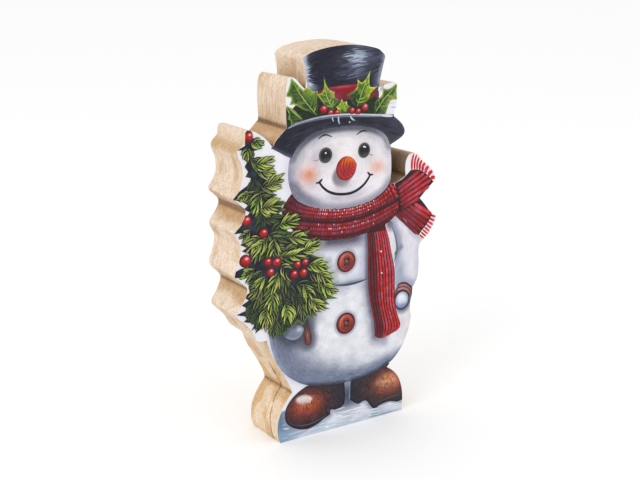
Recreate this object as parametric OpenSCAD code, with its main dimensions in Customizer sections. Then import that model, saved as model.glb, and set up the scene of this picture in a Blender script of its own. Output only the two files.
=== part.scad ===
// Wooden snowman figure: a thick solid board, sawn to the outline of the picture on its front.
// The picture is a white ground film with thin enamel colour areas on it, side by side.
// The outline and the picture are drawn in the XZ plane, in millimetres, for a figure 300 mm tall.
// The picture faces -Y and +Z is up. The origin is the middle of the base, halfway through the depth.

/* [Figure] */
// Height of the figure
figure_height = 300; // [240:5:360]
// Depth of the finished figure, from the front of the picture to the back
figure_depth = 41.5; // [30:0.5:60]

/* [Picture] */
// Thickness of the white ground film
ground_t = 0.25; // [0.15:0.05:0.6]
// Thickness of an enamel colour area
enamel_t = 0.2; // [0.1:0.05:0.5]
// How far the small details stand above the other enamel areas
raised_t = 0.2; // [0.1:0.05:0.5]

/* [Curves] */
// Longest straight step along a rounded outline
step = 2; // [1.5:0.5:6]

/* [Hidden] */
// The outlines below are drawn this tall.
drawn_height = 300;
picture_scale = figure_height / drawn_height;
front_y = -figure_depth / 2;
// The enamel areas lie within the ground film's face, which leaves this much for all the layers.
layers_t = ground_t + enamel_t + raised_t;
board_front_y = front_y + layers_t;
ground_front_y = board_front_y - ground_t;
board_depth = figure_depth - layers_t;

LEAVES = 6;

// ---------------------------------------------------------------- curves

// The point at fraction t of a smooth curve from b to c, where a comes before b and d after c.
function between(a, b, c, d, t) =
    0.5 * (2 * b + (c - a) * t + (2 * a - 5 * b + 4 * c - d) * t * t + (3 * b - a - 3 * c + d) * t * t * t);

// A smooth run through the points p, without its last point. Two points make a straight line.
function run(p) = [
    for (i = [0 : len(p) - 2])
        let (
            a = p[max(i - 1, 0)],
            d = p[min(i + 2, len(p) - 1)],
            n = len(p) == 2 ? 1 : max(2, ceil(norm(p[i + 1] - p[i]) / step))
        )
        for (j = [0 : n - 1]) between(a, p[i], p[i + 1], d, j / n)
];

// A closed outline of smooth runs that meet at corners. Each run starts at a corner and ends at the next one's.
function cornered(runs) = [
    for (i = [0 : len(runs) - 1])
        each run(concat(runs[i], [runs[(i + 1) % len(runs)][0]]))
];

// A closed smooth outline through the points p, with no corner.
function rounded(p) = [
    for (i = [0 : len(p) - 1])
        let (
            count = len(p),
            a = p[(i + count - 1) % count],
            b = p[i],
            c = p[(i + 1) % count],
            d = p[(i + 2) % count],
            n = max(2, ceil(norm(c - b) / step))
        )
        for (j = [0 : n - 1]) between(a, b, c, d, j / n)
];

// An ellipse round the middle c.
function ellipse(c, rx, rz) = [for (a = [0 : 10 : 350]) c + [rx * cos(a), rz * sin(a)]];

// A brush stroke along the points p: its width is w in the middle and end_w at both ends.
function stroke(p, w, end_w) =
    let (
        q = concat(run(p), [p[len(p) - 1]]),
        last = len(q) - 1,
        side = [
            for (i = [0 : last])
                let (
                    way = q[min(i + 1, last)] - q[max(i - 1, 0)],
                    half = (end_w + (w - end_w) * sin(180 * i / last)) / 2
                )
                half * [-way[1], way[0]] / norm(way)
        ]
    )
    concat([for (i = [0 : last]) q[i] + side[i]], [for (i = [last : -1 : 0]) q[i] - side[i]]);

// ---------------------------------------------------------------- outlines

// The sawn outline, clockwise from the left end of the base.
block_outline = cornered([
    [[-54, 0], [-56, 5], [-56.5, 12], [-55.5, 19], [-52, 27], [-48, 33]],
    [[-43.3, 38.5], [-43.8, 42], [-46.8, 48.4], [-50, 54.4], [-53.4, 60.2], [-57.6, 67.4], [-61.8, 76]],
    [[-65, 85.5], [-70, 85.7]],
    [[-73.5, 87], [-76, 92.5], [-80, 98.5], [-85.5, 104]],
    [[-91, 109.5], [-87.5, 114], [-83, 121], [-80.8, 128], [-84, 132.5]],
    [[-91.5, 139.5], [-90, 144.5], [-87.8, 149.5], [-86, 156], [-85.3, 161], [-87.5, 166]],
    [[-91, 172], [-86.5, 176.5], [-82.8, 182], [-81.2, 187.5], [-85, 192]],
    [[-91.5, 197.5], [-87, 202], [-84, 207.5], [-82.8, 213], [-84, 222], [-86.5, 227]],
    [[-87.5, 232], [-83, 235]],
    [[-81, 237.5]],
    [[-80.6, 246], [-75, 245], [-69, 241.8], [-63.5, 237.5], [-60, 233.5]],
    [[-58.3, 231], [-55.5, 235.5], [-51, 239.8]],
    [[-46.2, 244], [-46.8, 255], [-46.8, 268], [-45.6, 277], [-43.8, 280.4]],
    [[-42, 280.5], [-38, 278.5], [-34, 274]],
    [[-30.2, 270.5], [-29.5, 277], [-30.4, 286]],
    [[-32.5, 293.5], [-24, 297], [-10, 299.4], [5, 300], [20, 298.6], [33, 295.4]],
    [[36.5, 293], [39.5, 290.5]],
    [[40, 288.5], [37.6, 280], [35.6, 272]],
    [[34.8, 266.5], [42, 268], [49.5, 269]],
    [[51.5, 266.5], [51.6, 258], [51.4, 251], [49.6, 247.5]],
    [[48.8, 243.2], [53, 240], [57.2, 235.8], [59.4, 231], [57.8, 227.4], [52.5, 224.3]],
    [[46.2, 221.6], [46.8, 214], [47.2, 205], [46.9, 197]],
    [[45.8, 190.3], [52, 191], [57, 193]],
    [[61.3, 195.6], [60.8, 202], [61.6, 207.5], [64.4, 211.6]],
    [[69.3, 212.6], [73, 210], [77, 205.8], [83.2, 200.8], [88.2, 195]],
    [[90.6, 188.8], [84, 183.6], [79, 179.3]],
    [[75.2, 175.6], [79.6, 170.8], [84.6, 164.6], [88, 161]],
    [[91.5, 159], [90.4, 155], [87.6, 149.6], [83.6, 144.8]],
    [[79.5, 141.6], [76.3, 139], [75, 134], [75.4, 124], [75.2, 115], [73.4, 109]],
    [[69.8, 103.4], [69.4, 98], [67.8, 91]],
    [[67.6, 86], [68.7, 80], [67.9, 74.5], [65.6, 66], [61.6, 57.5], [55.5, 50], [50, 45]],
    [[45.8, 41], [52, 36.4], [57, 30.4], [60.2, 22.5], [61.6, 14], [61.6, 7]],
    [[61.2, 0]]
]);

snow_outline = cornered([
    [[-58, -2], [-59, 10], [-58, 22]],
    [[-50, 26], [-40, 22], [-8, 20]],
    [[5.2, 22], [5.6, 38]],
    [[11.2, 38], [10.8, 20], [30, 16]],
    [[64, 12]],
    [[64, -2]]
]);

boot_left_outline = cornered([
    [[-30, 41.5], [-37, 38.5], [-43.5, 34], [-48, 28.5], [-50, 22], [-48.6, 15.5], [-44, 10.8], [-37, 7.2],
        [-29, 5.8], [-21, 7.4], [-14.5, 10.6]],
    [[-8.5, 12.8], [-8, 16.8], [-4.5, 16], [-1.5, 14.9], [2, 16.6]],
    [[5, 19], [5.8, 25], [5.4, 31]],
    [[4.6, 38]],
    [[-12, 43]]
]);

boot_right_outline = cornered([
    [[11.4, 38], [10.6, 28]],
    [[10.4, 20.6], [15, 17.2], [18.5, 15.6], [22, 16.8], [26, 16.6], [28.8, 13], [32, 9], [35, 8],
        [39, 9.6], [45, 10.8], [51, 10.4], [57, 8.6]],
    [[64, 10]],
    [[64, 34], [46, 44]]
]);

body_lower_outline = rounded([
    [-63, 92], [-62.2, 84], [-60.2, 75], [-56.6, 66], [-50.6, 56.8], [-41.8, 49], [-30.6, 42.6], [-18, 39.4],
    [-4, 37.4], [8, 36.7], [22, 37.4], [35, 39.8], [46, 43.6], [56, 49], [64, 57], [69, 70], [71, 84],
    [69, 98], [58, 112], [40, 120], [20, 122], [-4, 122], [-30, 118], [-50, 110], [-60, 101]
]);

body_upper_outline = rounded([
    [-42, 150], [-30, 160], [0, 164], [36, 165], [48, 161], [53, 152], [55, 143], [54, 134], [51, 126],
    [42, 119.6], [28, 117.8], [12, 116.8], [-2, 117], [-16, 118.8], [-30, 123], [-40, 133]
]);

arm_outline = cornered([
    [[48, 161.5], [53, 168], [62, 168], [72, 160], [84, 148]],
    [[79, 141], [77, 136], [78, 124], [77, 112]],
    [[70, 102], [62, 104], [54.5, 104]],
    [[52.8, 110], [52, 119], [52.6, 127], [54.4, 135], [54.6, 142], [53, 150.5], [50.2, 157]]
]);

cuff_outline = rounded([
    [53.2, 104], [58.4, 109.2], [64, 108], [69, 104.6], [71, 99], [68.4, 92], [65.4, 87.6], [61, 85.2],
    [56.4, 86], [53.4, 90.6], [52, 97]
]);

scarf_end_lower_outline = cornered([
    [[52, 164], [56, 163.6], [61, 160.4], [66, 155], [70, 149.6]],
    [[74.6, 145.4], [78.4, 149.4], [82.6, 153.4], [85.6, 157]],
    [[87.8, 161.4], [82, 169], [75, 177]],
    [[62, 180], [52, 178]]
]);

scarf_end_upper_outline = cornered([
    [[51, 190.6], [57, 192.6], [62, 195.8]],
    [[66, 199.2], [73, 198.8], [79.4, 195.6], [84.4, 191.4]],
    [[88.6, 187], [83, 182.6], [78, 178.2]],
    [[74, 174.4], [68, 172.4], [61, 170.6], [52, 171]]
]);

fringe_lower_outline = cornered([
    [[74.6, 145.4], [78.4, 149.4], [82.6, 153.4], [85.6, 157]],
    [[87.8, 161.4], [94, 160]],
    [[93, 153], [88, 147], [82, 141.6], [79, 141.5]]
]);

fringe_upper_outline = cornered([
    [[66, 199.2], [73, 198.8], [79.4, 195.6], [84.4, 191.4]],
    [[88.6, 187], [93, 190]],
    [[91, 197], [84, 204], [76, 210]],
    [[70, 214], [66, 212]],
    [[65.2, 206]]
]);

scarf_tail_outline = cornered([
    [[24, 164], [25.4, 154], [26.2, 140], [26.4, 124], [27, 110], [29.4, 96], [32.4, 83]],
    [[33.6, 69.5], [37, 67.2], [41.5, 66.4], [46, 67.4], [49.6, 69.8]],
    [[54.6, 69.8], [57.8, 72], [58.4, 75.6], [56.4, 81], [54, 88], [52.4, 96], [52.4, 106], [52.2, 116],
        [51.2, 125], [48.6, 136], [46.2, 147]],
    [[42.4, 158], [41, 164]]
]);

scarf_wrap_outline = cornered([
    [[-43, 194.4], [-47, 190], [-51, 183.6], [-49, 176], [-43, 168.6], [-35, 162.4], [-25, 157.4], [-12, 154.8],
        [0, 153.8], [12, 153.4]],
    [[24, 155], [31, 157.4], [38, 158.2], [43, 159.6], [48, 162.2], [52.6, 166], [54.8, 172], [54.2, 180],
        [52.4, 186]],
    [[49.8, 190.8], [44, 194]],
    [[30, 200], [-30, 200]]
]);

crown_outline = cornered([
    [[-30, 246], [-28.4, 268], [-29.4, 278]],
    [[-34, 295], [-10, 304], [20, 303]],
    [[42, 292], [38, 280], [35, 269]],
    [[33.4, 262], [33, 246]]
]);

band_outline = cornered([
    [[-28, 265], [-14, 269.6], [2, 270.6], [16, 270.4], [26, 267.6]],
    [[34.6, 263.6], [34.4, 258]],
    [[30, 252], [16, 259], [2, 259.6], [-14, 257.6]],
    [[-28, 253]]
]);

brim_outline = cornered([
    [[-59.5, 230.6], [-55.6, 236], [-48, 242.8], [-38, 247], [-28, 249.2], [-15, 250.3], [-2, 249.8], [12, 248.4],
        [28, 246.4], [41, 245.2]],
    [[50, 244.4]],
    [[50, 242.4], [55, 238.6], [60, 233], [60, 229], [56, 225.4], [51, 223.2]],
    [[45.6, 221.4], [43.4, 226.6], [39, 231.4], [32, 235.2], [22, 238.2], [10, 239.9], [-4, 240.4], [-17, 239.4],
        [-27, 236.2], [-35, 231], [-39.8, 225.8]],
    [[-42.4, 221.4], [-48, 224], [-53.6, 227.4]]
]);

head_outline = rounded([
    [-45.4, 210], [-44, 200], [-39.6, 191], [-32, 185.6], [-22, 181.4], [-9, 178.6], [4, 177.4], [18, 177.9],
    [29, 180.2], [38, 184.4], [44.4, 190], [47.6, 198], [48, 208], [47.4, 219], [44, 230], [32, 240],
    [8, 244], [-18, 243], [-34, 236], [-43, 223]
]);

nose_outline = cornered([
    [[15, 210.2], [13.8, 204.6], [10.4, 200.4], [5.4, 198.8], [0, 200.6], [-3, 204.8], [-3.5, 209.6],
        [-1.4, 214], [2.8, 217], [7.6, 217], [12, 214.6]]
]);

trunk_outline = cornered([
    [[-33.4, 96], [-33.4, 88], [-33, 80], [-31.2, 75.8], [-28, 74.2], [-25.6, 76], [-25, 80.4], [-26.8, 87]],
    [[-28.6, 96]]
]);

hand_left_outline = rounded([
    [-50.4, 87], [-47, 83.6], [-42, 81.6], [-37, 82.2], [-33.4, 85.4], [-32.6, 89.2], [-35, 91.8], [-41, 93],
    [-48, 92]
]);

// The spruce's needle tips, with the hollows between them, clockwise from the top.
tree_outline = [
    [-81, 240], [-75, 240], [-70, 238.4], [-73.6, 235.2], [-68.2, 231.4], [-75, 230.4], [-74, 226], [-67, 221.6],
    [-60.8, 222], [-66, 218.6], [-59.8, 215.2], [-67, 214.6], [-62, 211.8], [-69, 210.6], [-64, 208.6], [-67, 205.8],
    [-51, 207.8], [-57, 204.4], [-51, 202.8], [-61, 201.4], [-63, 199], [-54.6, 196], [-62, 193.6], [-57, 190.8],
    [-50, 191], [-46, 188.4], [-53, 187], [-47.6, 184], [-54, 181.8], [-46, 178.6], [-35.4, 177.8], [-41, 174.6],
    [-36.6, 173], [-47, 169.8], [-46, 166.4], [-34, 164.4], [-26, 165.4], [-32, 161], [-29, 158.4], [-34, 156.6],
    [-20, 158.8], [-25, 154.8], [-15.6, 154], [-20, 150.8], [-31, 148.6], [-23, 145], [-16.4, 141.8], [-20, 139.8],
    [-10, 138], [-14, 134.8], [-8.4, 133], [-17, 130.4], [-4, 128.8], [-12, 126.4], [-4.6, 124], [-12, 121],
    [-2.6, 119.6], [-15, 117.6], [-3.4, 112.8], [-13, 113], [-1, 107], [-14, 108.6], [-8.8, 103.6], [-17, 105],
    [-8.6, 100], [-19, 101.4], [-16, 98.6], [-24, 100.4], [-23.4, 95.2], [-29, 98], [-32.6, 91.8], [-38, 96],
    [-41, 92.6], [-45, 93], [-49, 87.8], [-53.6, 88], [-54, 92.4], [-60, 92], [-61, 95.6], [-66, 93.4],
    [-67, 97.6], [-75, 93.2], [-72.6, 98.6], [-78, 96], [-75, 101], [-84.6, 104], [-79.6, 107], [-90.4, 110.4],
    [-80, 113], [-86, 117], [-80, 119.8], [-84, 123], [-79, 125.6], [-80, 131], [-76, 133.4], [-83, 134.4],
    [-80, 137.4], [-90.8, 138.8], [-93, 142.6], [-86, 145], [-80, 145.4], [-79, 155], [-85, 158], [-81, 160],
    [-86.4, 163], [-80, 166], [-88, 168.8], [-80, 171.6], [-92, 171.8], [-86, 176.4], [-78, 186], [-83, 189],
    [-79, 191.4], [-84, 194.6], [-93, 197.6], [-86, 202.6], [-77.6, 207], [-76.6, 211], [-81, 212.6], [-78.8, 216],
    [-81.6, 219.8], [-79.6, 223], [-83, 226], [-80.6, 229], [-85, 229.4], [-81, 232], [-88, 232.4], [-81, 235]
];

// Holly leaves: each run of the margin sinks in between two spines.
leaf_1_outline = cornered([
    [[-42.4, 280], [-43.8, 274]],
    [[-47, 267], [-42.4, 265.4]],
    [[-43.4, 260.8], [-38, 259.8], [-33.5, 256.8]],
    [[-30.6, 255.4], [-25.5, 253.6]],
    [[-20.6, 250], [-19.8, 255], [-20.4, 261]],
    [[-19.8, 268.6], [-24, 268.8]],
    [[-28.4, 273], [-31.6, 270.4], [-37, 274.8]]
]);

leaf_2_outline = cornered([
    [[-48, 261], [-41.6, 257.6], [-36.6, 253.2]],
    [[-31, 248.6], [-38, 246]],
    [[-42.6, 245], [-42.8, 249]],
    [[-45.4, 250.4], [-44.4, 254]]
]);

leaf_3_outline = cornered([
    [[-14.8, 280], [-13, 273.6], [-9.6, 268.4]],
    [[-5, 266.6], [-5.2, 262.8]],
    [[-0.8, 260], [-2, 255]],
    [[-7, 252.6], [-12, 255], [-15.6, 260]],
    [[-20.6, 266], [-15.8, 267.2], [-14.2, 272]]
]);

leaf_4_outline = cornered([
    [[-3.4, 255.6], [-0.8, 257]],
    [[1, 260.6], [3.2, 258.2]],
    [[5.8, 258.8], [6.2, 256]],
    [[9.4, 254], [7.8, 251.4]],
    [[7, 249], [-1, 249], [-2, 252.4]]
]);

leaf_5_outline = cornered([
    [[27, 281], [24.4, 276], [19.6, 271.2]],
    [[15.2, 274], [15, 268.4], [11.4, 265.4]],
    [[5.8, 263.2], [9.4, 259.4], [11, 256]],
    [[15.4, 253.2], [20.4, 255]],
    [[25.4, 258], [27.6, 263]],
    [[33.6, 267.2], [26.8, 267.4], [25.8, 274]]
]);

leaf_6_outline = cornered([
    [[30.4, 246], [30.6, 252]],
    [[32, 256.4], [37, 259.4]],
    [[38.8, 265.4], [44, 264.4]],
    [[52, 268.4], [51, 262]],
    [[52, 255.4], [46.6, 255.6], [43.8, 252]],
    [[42, 247.6], [40, 245]]
]);

holly_backing_outline = [
    [-48, 259], [-42, 257], [-36, 262], [-28, 266], [-20, 267], [-14, 262], [-6, 258], [2, 256],
    [10, 257], [18, 260], [26, 258], [31, 260], [35, 257], [38, 252], [41, 244], [-48, 244]
];

// Colour areas from the back to the front: name, how far it stands above the enamel's face, and outlines.
AREAS = [
    ["snow_base", 0, [snow_outline]],
    ["boot_left", 0, [boot_left_outline]],
    ["boot_right", 0, [boot_right_outline]],
    ["body_lower", 0, [body_lower_outline]],
    ["body_upper", 0, [body_upper_outline]],
    ["arm_right", 0, [arm_outline]],
    ["cuff_right", 0, [cuff_outline]],
    ["hand_right", 0, [ellipse([59.6, 94.8], 6.4, 6.8)]],
    ["button_upper", raised_t, [ellipse([6, 135.3], 8.4, 8.3)]],
    ["button_lower", raised_t, [ellipse([5.8, 85.6], 8.7, 8.6)]],
    ["scarf_end_lower", 0, [scarf_end_lower_outline]],
    ["scarf_end_upper", 0, [scarf_end_upper_outline]],
    ["scarf_fringe_lower", 0, [fringe_lower_outline]],
    ["scarf_fringe_upper", 0, [fringe_upper_outline]],
    ["scarf_tail", 0, [scarf_tail_outline]],
    ["scarf_wrap", 0, [scarf_wrap_outline]],
    ["hat_crown", 0, [crown_outline]],
    ["hat_band", 0, [band_outline]],
    ["head", 0, [head_outline]],
    ["eye_left", raised_t, [ellipse([-13, 220.2], 5.9, 5.9)]],
    ["eye_right", raised_t, [ellipse([21.6, 220], 5.5, 5.9)]],
    ["eyebrows", raised_t, [
        stroke([[-19.4, 233], [-16, 235], [-12, 235.4], [-7.4, 233.4]], 1.1, 0.4),
        stroke([[14.8, 232.6], [17.6, 234.2], [20.8, 234.9], [24.4, 234.2]], 1.1, 0.4)
    ]],
    ["nose", raised_t, [nose_outline]],
    ["smile", raised_t, [
        stroke([[-21.5, 200.2], [-18.4, 200], [-15.4, 196.4], [-10.4, 192.4], [-4, 189.8], [3, 188.6], [10, 188.6],
            [16.4, 190.4], [22, 193.8], [25.6, 197.6], [27.4, 200.2], [30.2, 200.2]], 1.6, 1),
        stroke([[-19.6, 200.4], [-17.4, 201.2], [-16, 202.8]], 1.6, 0.8),
        stroke([[28.2, 200.4], [26.4, 201.2], [25, 202.8]], 1.6, 0.8)
    ]],
    ["tree_trunk", 0, [trunk_outline]],
    ["hand_left", 0, [hand_left_outline]],
    ["tree", 0, [tree_outline]],
    ["tree_berries", raised_t, [
        ellipse([-78, 241.2], 3.3, 4.7), ellipse([-81, 180], 4.2, 4.2), ellipse([-67, 168.8], 3.9, 4),
        ellipse([-82.4, 150.3], 5, 4.8), ellipse([-63.6, 146.4], 3.4, 3.8), ellipse([-56, 145], 4.1, 4.1),
        ellipse([-61.4, 138.2], 3.7, 3.7), ellipse([-31.2, 141], 3.1, 3.1), ellipse([-38, 140.2], 3.3, 3.3),
        ellipse([-41, 133.2], 3.6, 3.6), ellipse([-32.8, 133], 3.8, 3.8)
    ]],
    ["holly_backing", 0, [holly_backing_outline]],
    ["holly_leaf_1", 0, [leaf_1_outline]],
    ["holly_leaf_2", 0, [leaf_2_outline]],
    ["holly_leaf_3", 0, [leaf_3_outline]],
    ["holly_leaf_4", 0, [leaf_4_outline]],
    ["holly_leaf_5", 0, [leaf_5_outline]],
    ["holly_leaf_6", 0, [leaf_6_outline]],
    ["hat_berries", raised_t, [
        ellipse([-15, 254.6], 3.4, 3.4), ellipse([-8.8, 251.4], 2.7, 2.7), ellipse([-3.2, 251], 2.6, 2.6),
        ellipse([10.2, 251.2], 2.8, 2.8), ellipse([15.8, 250], 2.7, 2.7), ellipse([21.8, 252.6], 3.3, 3.3)
    ]],
    ["hat_brim", 0, [brim_outline]]
];

// ---------------------------------------------------------------- layers

// Stands a flat outline up: y is the depth of its front face and t its thickness.
module upright(y, t) {
    translate([0, y + t, 0])
        rotate([90, 0, 0])
            linear_extrude(t)
                scale(picture_scale)
                    children();
}

module block_shape() {
    polygon(block_outline);
}

// The outlines of the colour area with this place in AREAS.
module area_shape(place) {
    for (o = AREAS[place][2])
        polygon(o);
}

// One colour area, cut to the block's outline and round every area that lies in front of it.
module enamel(name) {
    place = search([name], AREAS)[0];
    t = enamel_t + AREAS[place][1];
    upright(ground_front_y - t, t)
        difference() {
            intersection() {
                block_shape();
                area_shape(place);
            }
            for (front = [place + 1 : 1 : len(AREAS) - 1])
                area_shape(front);
        }
}

// ---------------------------------------------------------------- sub-parts

module wood_block() {
    color("burlywood")
        upright(board_front_y, board_depth)
            block_shape();
}

module ground_film() {
    color("lavender")
        upright(ground_front_y, ground_t)
            block_shape();
}

module snow_base() {
    color("aliceblue") enamel("snow_base");
}

module boot_left() {
    color("saddlebrown") enamel("boot_left");
}

module boot_right() {
    color("saddlebrown") enamel("boot_right");
}

module body_lower() {
    color("white") enamel("body_lower");
}

module body_upper() {
    color("white") enamel("body_upper");
}

module arm_right() {
    color("white") enamel("arm_right");
}

module cuff_right() {
    color("sienna") enamel("cuff_right");
}

module hand_right() {
    color("lightsteelblue") enamel("hand_right");
}

module button(name) {
    color("brown") enamel(name);
}

module scarf_end(name) {
    color("firebrick") enamel(name);
}

module scarf_fringe(name) {
    color("lightcoral") enamel(name);
}

module scarf_tail() {
    color("firebrick") enamel("scarf_tail");
}

module scarf_wrap() {
    color("firebrick") enamel("scarf_wrap");
}

module hat_crown() {
    color("midnightblue") enamel("hat_crown");
}

module hat_band() {
    color("maroon") enamel("hat_band");
}

module hat_brim() {
    color("darkslategray") enamel("hat_brim");
}

module head() {
    color("white") enamel("head");
}

module eye(name) {
    color("black") enamel(name);
}

module eyebrows() {
    color("black") enamel("eyebrows");
}

module nose() {
    color("orangered") enamel("nose");
}

module smile() {
    color("black") enamel("smile");
}

module tree() {
    color("darkolivegreen") enamel("tree");
}

module tree_trunk() {
    color("sienna") enamel("tree_trunk");
}

module hand_left() {
    color("lightsteelblue") enamel("hand_left");
}

module tree_berries() {
    color("red") enamel("tree_berries");
}

module holly_backing() {
    color("darkgreen") enamel("holly_backing");
}

module holly_leaf(number) {
    color("olivedrab") enamel(str("holly_leaf_", number));
}

module hat_berries() {
    color("red") enamel("hat_berries");
}

wood_block();
ground_film();
snow_base();
boot_left();
boot_right();
body_lower();
body_upper();
arm_right();
cuff_right();
hand_right();
button("button_upper");  // button_upper
button("button_lower");  // button_lower
scarf_end("scarf_end_lower");  // scarf_end_lower
scarf_end("scarf_end_upper");  // scarf_end_upper
scarf_fringe("scarf_fringe_lower");  // scarf_fringe_lower
scarf_fringe("scarf_fringe_upper");  // scarf_fringe_upper
scarf_tail();
scarf_wrap();
hat_crown();
hat_band();
hat_brim();
head();
eye("eye_left");  // eye_left
eye("eye_right");  // eye_right
eyebrows();
nose();
smile();
tree();
tree_trunk();
hand_left();
tree_berries();
holly_backing();
for (number = [1 : LEAVES])
    holly_leaf(number);
hat_berries();
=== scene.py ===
"""Looks of the wooden snowman figure: a sawn wood block with a glossy painted picture on its front."""
import math
import random

import bpy
import numpy as np
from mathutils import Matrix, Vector, noise
from mathutils.geometry import delaunay_2d_cdt


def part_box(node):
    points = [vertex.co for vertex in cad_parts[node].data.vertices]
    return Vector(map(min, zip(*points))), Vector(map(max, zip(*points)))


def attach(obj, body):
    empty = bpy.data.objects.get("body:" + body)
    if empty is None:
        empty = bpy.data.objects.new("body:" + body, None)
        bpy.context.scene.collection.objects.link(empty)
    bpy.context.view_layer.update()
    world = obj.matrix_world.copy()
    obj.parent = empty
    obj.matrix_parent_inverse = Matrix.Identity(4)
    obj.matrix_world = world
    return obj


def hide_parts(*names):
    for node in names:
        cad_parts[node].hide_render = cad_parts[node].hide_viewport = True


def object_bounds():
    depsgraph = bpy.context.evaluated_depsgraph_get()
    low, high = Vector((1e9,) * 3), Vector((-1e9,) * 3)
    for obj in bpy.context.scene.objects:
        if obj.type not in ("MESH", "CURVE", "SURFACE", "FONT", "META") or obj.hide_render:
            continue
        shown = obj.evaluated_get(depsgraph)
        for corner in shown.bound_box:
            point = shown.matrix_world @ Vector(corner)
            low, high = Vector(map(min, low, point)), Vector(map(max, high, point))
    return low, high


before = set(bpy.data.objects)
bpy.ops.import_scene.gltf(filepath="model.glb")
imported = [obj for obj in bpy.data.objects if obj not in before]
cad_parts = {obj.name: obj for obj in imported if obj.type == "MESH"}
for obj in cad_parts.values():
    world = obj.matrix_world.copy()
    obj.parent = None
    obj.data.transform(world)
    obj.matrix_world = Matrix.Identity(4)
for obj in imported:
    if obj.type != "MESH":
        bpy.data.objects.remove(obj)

CAD_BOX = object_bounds()
MM = 0.001                  # picture work is in millimetres, x to the right and z up
BODY = "root"
RANDOM = random.Random(7)
between = RANDOM.uniform

# ---------------------------------------------------------------- camera
CAMERA_AZIMUTH = math.radians(-33.18)
CAMERA_ELEVATION = math.radians(15.93)
CAMERA_DISTANCE = 0.9793
CAMERA_LENS = 73.7
CAMERA_AIM = Vector((-0.018, CAD_BOX[0][1], 0.1562))


def make_camera():
    """The camera stands to the left of the figure and a little above its middle."""
    level = math.cos(CAMERA_ELEVATION)
    away = Vector((math.sin(CAMERA_AZIMUTH) * level, -math.cos(CAMERA_AZIMUTH) * level,
        math.sin(CAMERA_ELEVATION)))
    data = bpy.data.cameras.new("camera")
    data.lens = CAMERA_LENS
    data.sensor_width = 36
    camera = bpy.data.objects.new("camera", data)
    camera.location = CAMERA_AIM + away * CAMERA_DISTANCE
    camera.rotation_euler = (-away).to_track_quat("-Z", "Y").to_euler()
    bpy.context.scene.collection.objects.link(camera)
    bpy.context.scene.camera = camera


make_camera()

# ---------------------------------------------------------------- colours
LIGHT_LEVEL = 1.02          # how bright a white sheet in the picture's place would look
GLOSS_LIFT = 0.022          # light that the gloss adds over the whole picture, taken off the paint
DARKEST = 0.004


def rgb(red, green, blue):
    """A colour as the eye sees it, from 0 to 255 a channel."""
    return np.array([red, green, blue], float) / 255


def to_linear(seen):
    """Seen colours as the linear values that shaders use, less the light and the gloss."""
    seen = np.clip(np.asarray(seen, float), 0, 1)
    linear = np.where(seen <= 0.04045, seen / 12.92, ((seen + 0.055) / 1.055) ** 2.4)
    return np.clip((linear - GLOSS_LIFT) / LIGHT_LEVEL, DARKEST, 1)


# ---------------------------------------------------------------- outlines of the CAD areas
SMALL = 1e-9
FACING_FRONT = -0.9         # a face whose normal has a lower y is on a node's front
MERGE_WITHIN = 1e-6
CHUNK = 3000                # points handled at a time, to keep the arrays small
OUTLINES = {}


def outline(node):
    """Directed edges round a CAD node's front face, solid on the left, as an array of (x1, z1, x2, z2)."""
    if node not in OUTLINES:
        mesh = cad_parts[node].data
        corner = [(round(v.co.x / MM, 3), round(v.co.z / MM, 3)) for v in mesh.vertices]
        edges = set()
        for face in mesh.polygons:
            if face.normal.y < FACING_FRONT:
                ring = [corner[i] for i in face.vertices]
                edges.update((a, b) for a, b in zip(ring, ring[1:] + ring[:1]) if a != b)
        rim = sorted(e for e in edges if (e[1], e[0]) not in edges)
        OUTLINES[node] = np.array([a + b for a, b in rim])
    return OUTLINES[node]


def loops(node):
    """The same edges chained into closed rings of (x, z) points."""
    following = {}
    for x1, z1, x2, z2 in outline(node).tolist():
        following.setdefault((x1, z1), []).append((x2, z2))
    rings = []
    while following:
        start = next(iter(following))
        ring, here = [start], following[start].pop()
        if not following[start]:
            del following[start]
        while here != start:
            ring.append(here)
            step = following[here].pop()
            if not following[here]:
                del following[here]
            here = step
        rings.append(np.array(ring))
    return rings


def by_chunks(work, points):
    """The work's results for all points, done on some of them at a time."""
    return np.concatenate([work(points[i:i + CHUNK]) for i in range(0, len(points), CHUNK)])


def inside(points, edges):
    """True where a point is inside the edges."""
    x1, z1, x2, z2 = edges.T

    def work(some):
        x, z = some[:, :1], some[:, 1:]
        spans = (z1 > z) != (z2 > z)
        crossing = x1 + (z - z1) * (x2 - x1) / np.where(z2 == z1, SMALL, z2 - z1)
        return (spans & (x < crossing)).sum(1) % 2 == 1

    return by_chunks(work, points)


def distance(points, edges):
    """Millimetres from each point to the nearest edge."""
    start = edges[:, :2]
    run = edges[:, 2:] - start
    length2 = np.maximum((run ** 2).sum(1), SMALL)

    def work(some):
        to = some[:, None, :] - start[None]
        along = np.clip((to * run).sum(2) / length2, 0, 1)
        gap = to - along[..., None] * run
        return np.sqrt((gap ** 2).sum(2)).min(1)

    return by_chunks(work, points)


def smooth_line(points, count):
    """A smooth curve through a few points, as count points."""
    p = np.array(points, float)
    if len(p) == 2:
        t = np.linspace(0, 1, count)[:, None]
        return p[0] + (p[1] - p[0]) * t
    p = np.vstack([2 * p[0] - p[1], p, 2 * p[-1] - p[-2]])
    spans = len(p) - 3
    out = []
    for t in np.linspace(0, spans, count):
        i = min(int(t), spans - 1)
        f = t - i
        a, b, c, d = p[i:i + 4]
        out.append(0.5 * (2 * b + (c - a) * f + (2 * a - 5 * b + 4 * c - d) * f * f
            + (3 * b - 3 * c + d - a) * f ** 3))
    return np.array(out)


def chain(points):
    """A line of points as edges."""
    points = np.asarray(points, float)
    return np.hstack([points[:-1], points[1:]])


# ---------------------------------------------------------------- painting
def mix(a, b, share):
    """From a to b as the share goes from 0 to 1."""
    return a + (b - a) * share


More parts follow.
